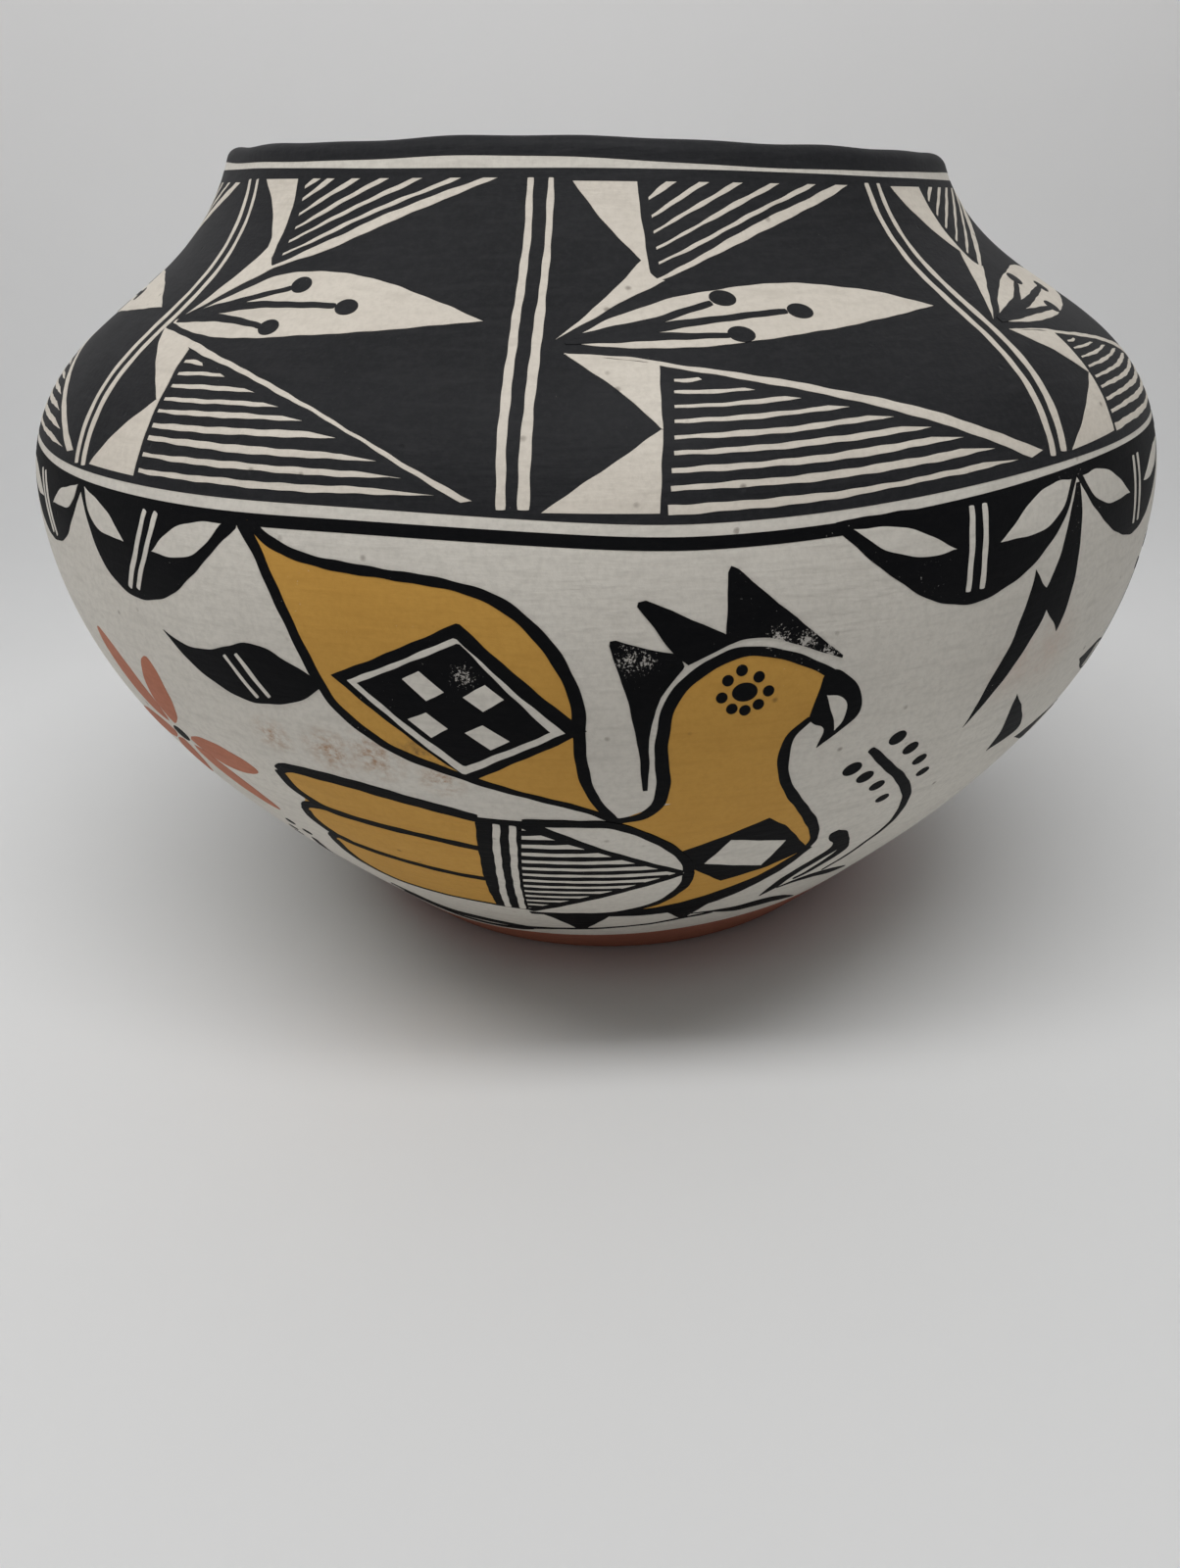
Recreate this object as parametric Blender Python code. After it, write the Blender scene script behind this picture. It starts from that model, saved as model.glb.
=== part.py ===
"""A coil-built painted jar, in metres, +Z up, standing on the origin.

The jar is built as such jars are built by hand: a base pat pressed in a shallow mould, wall coils
laid one above the other, each lapped over the inside edge of the one below, and a last coil that
is rolled over into the lip. Every piece is turned about Z from a cut of one wall profile.
"""

import math

import bmesh
import bpy
import numpy as np

# Outside of the jar
HEIGHT = 0.1685
BELLY_RADIUS = 0.125
BELLY_HEIGHT = 0.1015
MOUTH_RADIUS = 0.0766
FOOT_RADIUS = 0.058
FOOT_ROUND = 0.006

# How far the profile keeps its direction at each end of its two curves
FOOT_SLOPE = math.radians(45)
FOOT_REACH = 0.048
BELLY_REACH_DOWN = 0.038
BELLY_REACH_UP = 0.0395
NECK_SLOPE = math.radians(22.5)
NECK_REACH = 0.030

# Clay thicknesses and the hollow under the foot
WALL = 0.0055
FLOOR = 0.007
FLOOR_SWEEP = 0.020
FOOT_RING = 0.010
HOLLOW_DEPTH = 0.0025

# Base pat, coils and lip
BASE_PAT_LENGTH = 0.040
COIL_COUNT = 8
LIP_COIL_LENGTH = 0.014
LAP = 0.006
SEAM = 0.0003

# Where the black painted band ends
BAND_HEIGHT = 0.118

# Fineness of the solids
SEGMENTS = 64
COIL_SPANS = 3
BASE_SPANS = 5
LIP_SPANS = 6
FOOT_SPANS = 3
CURVE_SAMPLES = 400
SHARP_ANGLE = math.radians(35)
MERGE_DISTANCE = 1e-6

RED_SLIP = ("red_slip", (0.30, 0.095, 0.055), 0.75)
WHITE_SLIP = ("white_slip", (0.72, 0.69, 0.64), 0.70)
BLACK_PAINT = ("black_paint", (0.018, 0.018, 0.020), 0.75)


def bezier(start, start_handle, end_handle, end, count):
    """Points of a cubic curve from start to end, drawn by two handles."""
    t = np.linspace(0.0, 1.0, count)[:, None]
    corners = [np.array(corner) for corner in (start, start_handle, end_handle, end)]
    weights = ((1 - t) ** 3, 3 * (1 - t) ** 2 * t, 3 * (1 - t) * t**2, t**3)
    return sum(weight * corner for weight, corner in zip(weights, corners))


def foot_edge():
    """The rolled edge from the flat foot ring to the start of the wall, as (radius, height) points."""
    turn = np.linspace(0.0, FOOT_SLOPE, FOOT_SPANS + 1)
    radius = FOOT_RADIUS + FOOT_ROUND * np.sin(turn)
    height = FOOT_ROUND * (1 - np.cos(turn))
    return np.column_stack([radius, height])


def wall_curve():
    """Outer wall from the foot edge over the belly to the side of the lip."""
    foot = foot_edge()[-1]
    belly = np.array([BELLY_RADIUS, BELLY_HEIGHT])
    mouth = np.array([MOUTH_RADIUS, HEIGHT - WALL / 2])
    foot_direction = np.array([math.cos(FOOT_SLOPE), math.sin(FOOT_SLOPE)])
    neck_direction = np.array([math.sin(NECK_SLOPE), -math.cos(NECK_SLOPE)])
    up = np.array([0.0, 1.0])
    lower = bezier(foot, foot + FOOT_REACH * foot_direction, belly - BELLY_REACH_DOWN * up, belly,
                   CURVE_SAMPLES)
    upper = bezier(belly, belly + BELLY_REACH_UP * up, mouth + NECK_REACH * neck_direction, mouth,
                   CURVE_SAMPLES)
    return np.vstack([lower, upper[1:]])


class Wall:
    """The outer wall measured along its length, with the inner face one wall thickness behind it."""

    def __init__(self):
        self.points = wall_curve()
        steps = np.linalg.norm(np.diff(self.points, axis=0), axis=1)
        self.along = np.concatenate([[0.0], np.cumsum(steps)])
        self.length = self.along[-1]
        slope = np.gradient(self.points, self.along, axis=0)
        self.outward = np.column_stack([slope[:, 1], -slope[:, 0]])
        self.outward /= np.linalg.norm(self.outward, axis=1)[:, None]

    def at(self, lengths, depth=0.0):
        """Points at the given lengths up the wall, depth metres in from its outer face."""
        skin = self.points - depth * self.outward
        columns = [np.interp(lengths, self.along, skin[:, axis]) for axis in range(2)]
        return np.column_stack(columns)


def seam_shift():
    """How far a joint moves up the wall to leave the seam's width across a lapped face."""
    return SEAM * math.hypot(LAP, WALL) / WALL


def base_profile(wall, top):
    """Floor centre to the lapped joint, down the outside, under the foot ring and into the hollow."""
    joint = wall.at([top - LAP], WALL)[0]
    below = wall.at([top - 2 * LAP], WALL)[0]
    direction = (joint - below) / np.linalg.norm(joint - below)
    centre = np.array([0.0, HOLLOW_DEPTH + FLOOR])
    ring_inside = FOOT_RADIUS - FOOT_RING
    inside = bezier(centre, centre + np.array([ring_inside, 0.0]), joint - FLOOR_SWEEP * direction, joint,
                    BASE_SPANS + 2)
    outside = wall.at(np.linspace(top, 0.0, BASE_SPANS + 1))
    foot = foot_edge()[-2::-1]
    hollow_turn = np.linspace(1.0, 0.0, FOOT_SPANS + 1)
    hollow = np.column_stack([ring_inside * hollow_turn, HOLLOW_DEPTH * (1 - hollow_turn**2)])
    return np.vstack([inside, outside, foot, hollow])


def coil_profile(wall, bottom, top):
    """A closed ring profile: down the outside, across the lapped joint and up the inside."""
    lower = bottom + seam_shift()
    outside = wall.at(np.linspace(top, lower, COIL_SPANS + 1))
    inside = wall.at(np.linspace(lower - LAP, top - LAP, COIL_SPANS + 1), WALL)
    return np.vstack([outside, inside])


def lip_profile(wall, bottom):
    """The last coil, with its top rolled into a half round lip."""
    lower = bottom + seam_shift()
    turn = np.linspace(math.pi, 0.0, LIP_SPANS + 1)
    middle = wall.points[-1] - np.array([WALL / 2, 0.0])
    crest = middle + WALL / 2 * np.column_stack([np.cos(turn), np.sin(turn)])
    outside = wall.at(np.linspace(wall.length, lower, COIL_SPANS + 1)[1:])
    inside = wall.at(np.linspace(lower - LAP, wall.length, COIL_SPANS + 1)[:-1], WALL)
    return np.vstack([crest, outside, inside])


def make_material(slot, colour, roughness):
    """A Principled material with one plain colour and roughness."""
    material = bpy.data.materials.new(slot)
    material.use_nodes = True
    shader = material.node_tree.nodes["Principled BSDF"]
    shader.inputs["Base Color"].default_value = (*colour, 1.0)
    shader.inputs["Roughness"].default_value = roughness
    shader.inputs["Metallic"].default_value = 0.0
    return material


def turned_piece(name, profile, closed, finish, parent):
    """Spin a profile of (radius, height) points about Z into one named object."""
    shape = bmesh.new()
    corners = [shape.verts.new((radius, 0.0, height)) for radius, height in profile]
    pairs = list(zip(corners, corners[1:]))
    if closed:
        pairs.append((corners[-1], corners[0]))
    edges = [shape.edges.new(pair) for pair in pairs]
    bmesh.ops.spin(shape, geom=corners + edges, axis=(0, 0, 1), cent=(0, 0, 0),
                   angle=2 * math.pi, steps=SEGMENTS, use_merge=True)
    bmesh.ops.remove_doubles(shape, verts=shape.verts, dist=MERGE_DISTANCE)
    bmesh.ops.recalc_face_normals(shape, faces=shape.faces)
    mesh = bpy.data.meshes.new(name)
    shape.to_mesh(mesh)
    shape.free()
    mesh.shade_smooth()
    mesh.set_sharp_from_angle(angle=SHARP_ANGLE)
    mesh.materials.append(make_material(f"{finish[0]}_{name}", *finish[1:]))
    piece = bpy.data.objects.new(name, mesh)
    piece.parent = parent
    bpy.context.scene.collection.objects.link(piece)
    return piece


def build():
    """Clear the scene, then stack the base pat, the wall coils and the lip coil."""
    for old in list(bpy.data.objects):
        bpy.data.objects.remove(old, do_unlink=True)
    jar = bpy.data.objects.new("jar", None)
    bpy.context.scene.collection.objects.link(jar)

    wall = Wall()
    joints = np.linspace(BASE_PAT_LENGTH, wall.length - LIP_COIL_LENGTH, COIL_COUNT + 1)
    turned_piece("base_pat", base_profile(wall, joints[0]), False, RED_SLIP, jar)
    for number, (bottom, top) in enumerate(zip(joints, joints[1:]), start=1):
        middle_height = wall.at([(bottom + top) / 2])[0, 1]
        finish = BLACK_PAINT if middle_height > BAND_HEIGHT else WHITE_SLIP
        turned_piece(f"wall_coil_{number}", coil_profile(wall, bottom, top), True, finish, jar)
    turned_piece("lip_coil", lip_profile(wall, joints[-1]), True, BLACK_PAINT, jar)


build()
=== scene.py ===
"""The finished look of a coil-built painted jar: clay skin, slip, paint, studio and camera.

The wall is one surface with two coordinates. "around" is the angle in degrees, 0 at the front and
positive to the viewer's right. "up" is the length along the wall in millimetres, 0 at the foot
edge, carried on over the lip and down the inside. Every painted mark is a thin closed film drawn
in those coordinates, so it follows the clay from any side.
"""

import math

import bmesh
import bpy
import numpy as np
from mathutils import Matrix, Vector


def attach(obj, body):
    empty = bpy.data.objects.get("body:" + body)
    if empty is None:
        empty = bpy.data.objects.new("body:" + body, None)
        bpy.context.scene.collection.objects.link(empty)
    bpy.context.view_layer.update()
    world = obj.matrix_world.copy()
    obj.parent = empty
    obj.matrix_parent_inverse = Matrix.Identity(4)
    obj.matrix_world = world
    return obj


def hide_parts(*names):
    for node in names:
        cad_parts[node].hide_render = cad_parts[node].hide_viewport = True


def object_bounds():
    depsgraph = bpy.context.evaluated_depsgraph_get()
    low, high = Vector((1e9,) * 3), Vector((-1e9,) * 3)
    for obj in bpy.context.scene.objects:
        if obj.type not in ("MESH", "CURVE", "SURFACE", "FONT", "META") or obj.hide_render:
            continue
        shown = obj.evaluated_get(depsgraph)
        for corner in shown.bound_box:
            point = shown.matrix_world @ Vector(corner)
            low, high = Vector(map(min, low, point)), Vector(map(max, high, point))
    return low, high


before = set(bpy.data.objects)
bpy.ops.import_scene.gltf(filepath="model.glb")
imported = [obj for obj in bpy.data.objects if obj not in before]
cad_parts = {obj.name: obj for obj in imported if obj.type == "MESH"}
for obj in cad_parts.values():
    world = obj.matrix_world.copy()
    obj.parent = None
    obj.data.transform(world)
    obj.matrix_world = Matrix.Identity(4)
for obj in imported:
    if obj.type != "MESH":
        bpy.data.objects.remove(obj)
CAD_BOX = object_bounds()
CAD_NODES = list(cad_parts)
MM = 0.001

# Clay form in millimetres: the height is read from the solids, the rest repeats their profile
HEIGHT = CAD_BOX[1][2] / MM
BELLY_RADIUS = 125.0
BELLY_HEIGHT = 101.5
MOUTH_RADIUS = 76.6
FOOT_RADIUS = 58.0
FOOT_ROUND = 6.0
FOOT_SLOPE = math.radians(45)
FOOT_REACH = 48.0
BELLY_REACH_DOWN = 38.0
BELLY_REACH_UP = 39.5
NECK_SLOPE = math.radians(22.5)
NECK_REACH = 30.0
WALL = 5.5
FLOOR = 7.0
FOOT_RING = 10.0
HOLLOW_DEPTH = 2.5
BASE_JOINT = 34.0
FLOOR_SWEEP = 20.0

# Hand-made unevenness: the foot stands a little to the right, the rim dips to the right
LEAN = -0.0237
LEAN_TOP = 118.0
RIM_TILT = -0.041
RIM_TILT_RISE = 46.0
RIM_SIDE = 0.75
RIM_DROOP = 0.30
RIM_DROOP_ROUND = 20.0
WAVE_HEIGHT = 0.12
LIP_SWELL = 0.65
LIP_SWELL_AT = -9.0
LIP_SWELL_SPREAD = 15.0
LIP_SWELL_FROM = 163.8
LIP_SWELL_RISE = 3.5
LIP_RIPPLE = 0.09
LIP_RISE = 1.1

# Painted rings: heights up the wall, and bells as (angle, spread to the left, spread to the right, size)
LIP_PAINT = 205.4
LIP_DIPS = [(18.0, 26.0, 22.0, 0.85)]
LIP_INSIDE = 220.0
BAND_TOP = 203.5
BAND_RIPPLE = 0.12
RIM_LEAN = 0.3
STRIPE_MIDDLE = 138.05
STRIPE_HALF = 0.84
STRIPE_SAGS = [
    (7.5, 12.5, 21.0, 2.0), (-19.0, 9.0, 9.0, -0.4), (-67.0, 10.0, 10.0, -0.8), (46.0, 14.0, 40.0, -0.5)]
STRIPE_SWELLS = [
    (-27.0, 14.0, 14.0, 0.1), (9.0, 8.0, 8.0, 0.05), (49.0, 14.0, 30.0, -0.38), (-62.0, 12.0, 12.0, -0.2)]
BELLY_LINE = 2.05
FOOT_SLIP_TOP = 13.0
FOOT_SLIP_LEAN = 9.0
FOOT_SLIP_TURN = 5.0

# Thickness of one coat of paint, depth and width of a film's bedded edge, and how far a brush edge wavers
COAT = 0.06
BED = 0.05
EDGE = 0.06
WAVER = 0.05

# Fineness of the meshes
CURVE_SAMPLES = 241
TURN_STEPS = 361
FILM_STEP = 1.7
ROW_STEP = 0.7
SHARP_ANGLE = math.radians(25)
MERGE_DISTANCE = 2e-7
SMALLEST_EDGE = 1e-8


def bezier(start, start_handle, end_handle, end, count):
    """Cubic curve: four corner points weighted by the cubic Bernstein polynomials."""
    t = np.linspace(0.0, 1.0, count)[:, None]
    corners = [np.array(corner, float) for corner in (start, start_handle, end_handle, end)]
    weights = ((1 - t) ** 3, 3 * (1 - t) ** 2 * t, 3 * (1 - t) * t**2, t**3)
    return sum(weight * corner for weight, corner in zip(weights, corners))


def clay_outline():
    """(radius, height) of the whole clay skin, from under the foot, up the wall, over the lip to the floor.

    The hollow is a shallow parabola, the foot edge an arc, the wall two cubic curves, the lip a half
    circle, the inside the wall moved in by its thickness, and the floor a last cubic curve.
    Returns the points and the indices where the wall starts and ends.
    """
    ring_inside = FOOT_RADIUS - FOOT_RING
    r = np.linspace(0.0, ring_inside, 40)
    hollow = np.column_stack([r, HOLLOW_DEPTH * (1 - (r / ring_inside) ** 2)])
    turn = np.linspace(0.0, FOOT_SLOPE, 20)
    edge = np.column_stack([FOOT_RADIUS + FOOT_ROUND * np.sin(turn), FOOT_ROUND * (1 - np.cos(turn))])
    up = np.array([0.0, 1.0])
    foot = edge[-1]
    belly = np.array([BELLY_RADIUS, BELLY_HEIGHT])
    mouth = np.array([MOUTH_RADIUS, HEIGHT - WALL / 2])
    foot_direction = np.array([math.cos(FOOT_SLOPE), math.sin(FOOT_SLOPE)])
    neck_direction = np.array([math.sin(NECK_SLOPE), -math.cos(NECK_SLOPE)])
    lower = bezier(foot, foot + FOOT_REACH * foot_direction, belly - BELLY_REACH_DOWN * up, belly, 400)
    upper = bezier(belly, belly + BELLY_REACH_UP * up, mouth + NECK_REACH * neck_direction, mouth, 400)
    wall = np.vstack([lower, upper[1:], mouth - LIP_RISE * neck_direction])
    slope = np.gradient(wall, axis=0)
    inward = np.column_stack([-slope[:, 1], slope[:, 0]]) / np.linalg.norm(slope, axis=1)[:, None]
    inside = (wall + WALL * inward)[::-1]
    lip_turn = np.linspace(0.0, math.pi, 40)[:, None]
    lip = wall[-1] + WALL / 2 * (inward[-1] * (1 - np.cos(lip_turn)) - neck_direction * np.sin(lip_turn))
    steps = np.concatenate([[0.0], np.cumsum(np.linalg.norm(np.diff(wall, axis=0), axis=1))])[::-1]
    inside = inside[steps > BASE_JOINT]
    direction = (inside[-2] - inside[-1]) / np.linalg.norm(inside[-2] - inside[-1])
    centre = np.array([0.0, HOLLOW_DEPTH + FLOOR])
    floor = bezier(inside[-1], inside[-1] - FLOOR_SWEEP * direction, centre + [ring_inside, 0.0], centre, 80)
    points = np.vstack([hollow, edge, wall[1:], lip[1:], inside[1:], floor[1:]])
    start = len(hollow) + len(edge) - 1
    return points, start, start + len(wall) - 1


OUTLINE, WALL_START, WALL_END = clay_outline()
LENGTH = np.concatenate([[0.0], np.cumsum(np.linalg.norm(np.diff(OUTLINE, axis=0), axis=1))])
LENGTH -= LENGTH[WALL_START]
TANGENT = np.gradient(OUTLINE, LENGTH, axis=0)
TANGENT /= np.linalg.norm(TANGENT, axis=1)[:, None]


def radius_at(up):
    """Radius of the clay at a length up the wall, in millimetres."""
    return np.interp(up, LENGTH, OUTLINE[:, 0])


def clay(around, up, lift=0.0):
    """Points of the clay surface in metres, lifted along its normal by lift millimetres.

    The outline is turned about Z, with a few slow sine waves round and up the wall for hand
    scraping. Below LEAN_TOP it is sheared sideways, and above it a slope across the jar grows with
    the square of the height. The lip swells upwards near the front by a bell curve and ripples by
    two sines.
    """
    turn = np.radians(around)
    radius = np.interp(up, LENGTH, OUTLINE[:, 0])
    height = np.interp(up, LENGTH, OUTLINE[:, 1])
    out = np.interp(up, LENGTH, TANGENT[:, 1])
    rise = -np.interp(up, LENGTH, TANGENT[:, 0])
    wave = np.sin(3 * turn + up / 31) + 0.7 * np.sin(7 * turn - up / 17) + 0.5 * np.sin(11 * turn + up / 9)
    lift = lift + WAVE_HEIGHT * wave * np.clip(radius / FOOT_RADIUS - 0.9, 0.0, 1.0)
    radius = radius + lift * out
    height = height + lift * rise
    x = radius * np.sin(turn)
    y = -radius * np.cos(turn)
    sway = LEAN * np.minimum(height - LEAN_TOP, 0.0)
    slope = RIM_SIDE * x + RIM_DROOP * (np.hypot(x, RIM_DROOP_ROUND) - RIM_DROOP_ROUND)
    tilt = RIM_TILT * slope * np.clip((height - LEAN_TOP) / RIM_TILT_RISE, 0.0, 1.0) ** 2
    off = (around - LIP_SWELL_AT + 180.0) % 360.0 - 180.0
    swell = LIP_SWELL * np.exp(-((off / LIP_SWELL_SPREAD) ** 2))
    swell = swell + LIP_RIPPLE * (np.sin(13 * turn) + np.sin(21 * turn + 2.0))
    swell = swell * np.clip((height - LIP_SWELL_FROM) / LIP_SWELL_RISE, 0.0, 1.0)
    return np.stack([x + sway, y, height + tilt + swell], axis=-1) * MM


def mesh_object(name, points, quads, materials, face_slots=None):
    """A smooth-shaded object at the origin from points and quads, with coincident points merged."""
    mesh = bpy.data.meshes.new(name)
    mesh.from_pydata(points.reshape(-1, 3).tolist(), [], quads.tolist())
    for material in materials:
        mesh.materials.append(material)
    if face_slots is not None:
        mesh.polygons.foreach_set("material_index", face_slots.astype(np.int32))
    weld(mesh)
    mesh.shade_smooth()
    mesh.set_sharp_from_angle(angle=SHARP_ANGLE)
    piece = bpy.data.objects.new(name, mesh)
    bpy.context.scene.collection.objects.link(piece)
    return piece


def weld(mesh):
    """Merge points that share a place, so that pointed ends and poles are closed."""
    shape = bmesh.new()
    shape.from_mesh(mesh)
    bmesh.ops.remove_doubles(shape, verts=shape.verts, dist=MERGE_DISTANCE)
    bmesh.ops.dissolve_degenerate(shape, edges=shape.edges, dist=SMALLEST_EDGE)
    shape.to_mesh(mesh)
    shape.free()


def grid_quads(index):
    """Quads of a grid of point numbers, wound so that rows to columns turn outwards."""
    corners = (index[:-1, :-1], index[1:, :-1], index[1:, 1:], index[:-1, 1:])
    return np.stack(corners, axis=-1).reshape(-1, 4)


def spline(points, count):
    """Smooth curve through given points: uniform Catmull-Rom, with count samples."""
    p = np.asarray(points, float)
    if len(p) == 2:
        return p[0] + np.linspace(0.0, 1.0, count)[:, None] * (p[1] - p[0])
    p = np.vstack([2 * p[0] - p[1], p, 2 * p[-1] - p[-2]])
    place = np.linspace(0.0, len(p) - 3 - 1e-9, count)
    k = place.astype(int)
    t = (place - k)[:, None]
    a, b, c, d = p[k], p[k + 1], p[k + 2], p[k + 3]
    return 0.5 * (2 * b + (c - a) * t + (2 * a - 5 * b + 4 * c - d) * t**2 + (3 * b - a - 3 * c + d) * t**3)


def pick(path, places):
    """Points of a path at places counted in its own points, on the straight runs between them."""
    p = np.asarray(path, float)
    return np.column_stack([np.interp(places, np.arange(len(p)), p[:, axis]) for axis in range(2)])


def polyline(points, count):
    """Straight runs between given points, with the same share of samples on each run."""
    return pick(points, np.linspace(0.0, len(points) - 1, count))


def flat_lengths(path):
    """Length along a path of (around, up) points, measured on the wall in millimetres."""
    middle = radius_at((path[1:, 1] + path[:-1, 1]) / 2)
    across = np.radians(np.diff(path[:, 0])) * middle
    return np.concatenate([[0.0], np.cumsum(np.hypot(across, np.diff(path[:, 1])))])


def resample(path, lengths):
    """Points of a path at the given lengths along it."""
    along = flat_lengths(path)
    return np.column_stack([np.interp(lengths, along, path[:, axis]) for axis in range(2)])


def sideways(path):
    """One millimetre to the left of a path's direction on the wall, at each point, in (around, up)."""
    metric = np.radians(radius_at(path[:, 1]))
    direction = np.gradient(path, axis=0)
    flat = np.column_stack([direction[:, 0] * metric, direction[:, 1]])
    flat /= np.maximum(np.linalg.norm(flat, axis=1)[:, None], 1e-9)
    return np.column_stack([-flat[:, 1] / metric, flat[:, 0]])


def spread(first, second, rim, columns):
    """Grid of points on straight lines between two edges: a narrow rim at each, even steps between."""
    share = np.linspace(0.0, 1.0, columns - 2)[None, :] * (1 - 2 * rim) + rim
    share = np.hstack([np.zeros_like(rim), share, np.ones_like(rim)])[:, :, None]
    return first[:, None, :] * (1 - share) + second[:, None, :] * share


def turned(shift):
    """Places a motif by turning it round the jar."""
    return lambda points: np.asarray(points, float) + [shift, 0.0]


class Paint:
    """Films of one colour on one motif, gathered into one closed mesh.

    place turns the motif's own coordinates into (around, up). coats says how many coats lie under
    the film, so that later colours lie on top of earlier ones.
    """

    def __init__(self, name, material, slot, coats, place, seed=1):
        self.name, self.material, self.slot = name, material, slot
        self.lift = COAT * coats
        self.place = place
        self.chance = np.random.default_rng(seed)
        self.points, self.quads, self.count = [], [], 0

    def waver(self, edge):
        """A brush edge's slight waver: three sine waves along it, still at both ends."""
        along = flat_lengths(edge)
        phase = self.chance.uniform(0, 2 * math.pi, 3)
        wave = sum(np.sin(along / length + turn) for length, turn in zip((0.9, 1.9, 4.3), phase))
        ends = np.clip(np.minimum(along, along[-1] - along) / 2.0, 0.0, 1.0)
        return edge + (WAVER * wave * ends)[:, None] * sideways(edge)

    def sheet(self, flat, inner, turn_over):
        """Closed film over a grid of (around, up) points: a raised top sheet and a bedded back sheet.

        Inner points are raised on the top. The others are bedded, and the back sheet shares them.
        """
        top = clay(flat[..., 0], flat[..., 1], np.where(inner, self.lift, -BED))
        back = clay(flat[..., 0], flat[..., 1], -2 * BED)[inner]
        front_index = np.arange(inner.size).reshape(inner.shape)
        back_index = front_index.copy()
        back_index[inner] = inner.size + np.arange(len(back))
        quads = np.vstack([grid_quads(front_index), grid_quads(back_index)[:, ::-1]])
        if turn_over:
            quads = quads[:, ::-1]
        self.points.append(np.vstack([top.reshape(-1, 3), back]))
        self.quads.append(quads + self.count)
        self.count += len(self.points[-1])

    def film(self, first, second):
        """Film between two edges of equal count, turned over where they run clockwise round it."""
        metric = np.radians(radius_at((first[:, 1] + second[:, 1]) / 2))
        width = np.hypot((second[:, 0] - first[:, 0]) * metric, second[:, 1] - first[:, 1])
        columns = int(np.clip(width.max() / FILM_STEP, 1, 60)) + 3
        rim = np.clip(EDGE / np.maximum(width, 1e-6), 0.0, 0.3)[:, None]
        flat = spread(first, second, rim, columns)
        inner = np.zeros(flat.shape[:2], bool)
        inner[1:-1, 1:-1] = True
        loop = np.vstack([first, second[::-1]])
        area = np.sum(loop[:, 0] * np.roll(loop[:, 1], -1) - np.roll(loop[:, 0], -1) * loop[:, 1])
        self.sheet(flat, inner, area < 0)

    def rows(self, length):
        """Lengths for a film's rows: even steps, with one extra row close to each end."""
        even = np.linspace(0.0, length, max(16, int(length / ROW_STEP)) + 1)
        close = min(EDGE, length * 0.05)
        return np.concatenate([[0.0, close], even[1:-1], [length - close, length]])

    def fill(self, first, second, first_curve=spline, second_curve=spline):
        """Fill between two edges given by listed points, each a smooth curve or straight runs."""
        one = self.place(first_curve(first, CURVE_SAMPLES))
        two = self.place(second_curve(second, CURVE_SAMPLES))
        length = max(flat_lengths(one)[-1], flat_lengths(two)[-1])
        places = self.rows(length) / length * (CURVE_SAMPLES - 1)
        self.film(self.waver(pick(one, places)), self.waver(pick(two, places)))

    def area(self, first, second):
        """Fill between two edges that run straight between their points."""
        self.fill(first, second, polyline, polyline)

    def stroke(self, points, widths, curve=spline, cap=0.5):
        """Brush stroke along a path: half its width to each side, with rounded ends.

        widths holds one width in millimetres, or several spread evenly along the path. cap is the
        length of the rounding at each end in millimetres, along which the width follows an ellipse.
        """
        path = self.place(curve(points, CURVE_SAMPLES))
        length = flat_lengths(path)[-1]
        cap = min(cap, length / 3)
        ends = np.array([0.0, 0.12, 0.3, 0.6]) * cap
        even = np.linspace(0.0, length, max(10, int(length / ROW_STEP)) + 1)[1:-1]
        even = even[(even > ends[-1]) & (even < length - ends[-1])]
        along = np.concatenate([ends, even, length - ends[::-1]])
        path = resample(path, along)
        widths = np.atleast_1d(np.asarray(widths, float))
        width = np.interp(along / length, np.linspace(0, 1, len(widths)), widths)
        near = np.minimum(along, length - along) / max(cap, 1e-6)
        width = width * np.sqrt(np.clip(1 - (1 - np.clip(near, 0, 1)) ** 2, 0.02, 1.0))
        side = sideways(path) * (width / 2)[:, None]
        self.film(self.waver(path + side), self.waver(path - side))

    def dot(self, centre, long_half, short_half, lean=0.0):
        """An oval brush dab: its edges are the two halves of an ellipse turned by lean degrees."""
        middle = self.place([centre])[0]
        turn = np.linspace(0.0, math.pi, 17)
        metric = math.radians(radius_at(middle[1]))
        c = math.cos(math.radians(lean))
        s = math.sin(math.radians(lean))
        x = long_half * np.cos(turn)
        halves = []
        for y in (short_half * np.sin(turn), -short_half * np.sin(turn)):
            halves.append(middle + np.column_stack([(c * x - s * y) / metric, s * x + c * y]))
        self.film(*halves)

    def ring(self, low, high, step=FILM_STEP):
        """A film right round the jar between two heights, each a number or a function of the angle."""
        around = np.linspace(0.0, 360.0, TURN_STEPS)
        heights = [edge(around) if callable(edge) else np.full_like(around, edge) for edge in (low, high)]
        tall = heights[1] - heights[0]
        columns = int(np.clip(tall.max() / step, 1, 140)) + 3
        edges = [np.column_stack([around, up]) for up in heights]
        flat = spread(*edges, EDGE / tall[:, None], columns)
        inner = np.zeros(flat.shape[:2], bool)
        inner[:, 1:-1] = True
        self.sheet(flat, inner, False)

    def finish(self):
        """Make the object, and fix it to the jar's body."""
        piece = mesh_object(self.name, np.vstack(self.points), np.vstack(self.quads), [self.material])
        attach(piece, "root")


# Shader building

def make_node(tree, kind, **values):
    """A node with its properties and input values set."""
    node = tree.nodes.new(kind)
    for key, value in values.items():
        if key in node.inputs:
            node.inputs[key].default_value = value
        else:
            setattr(node, key, value)
    return node


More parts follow.
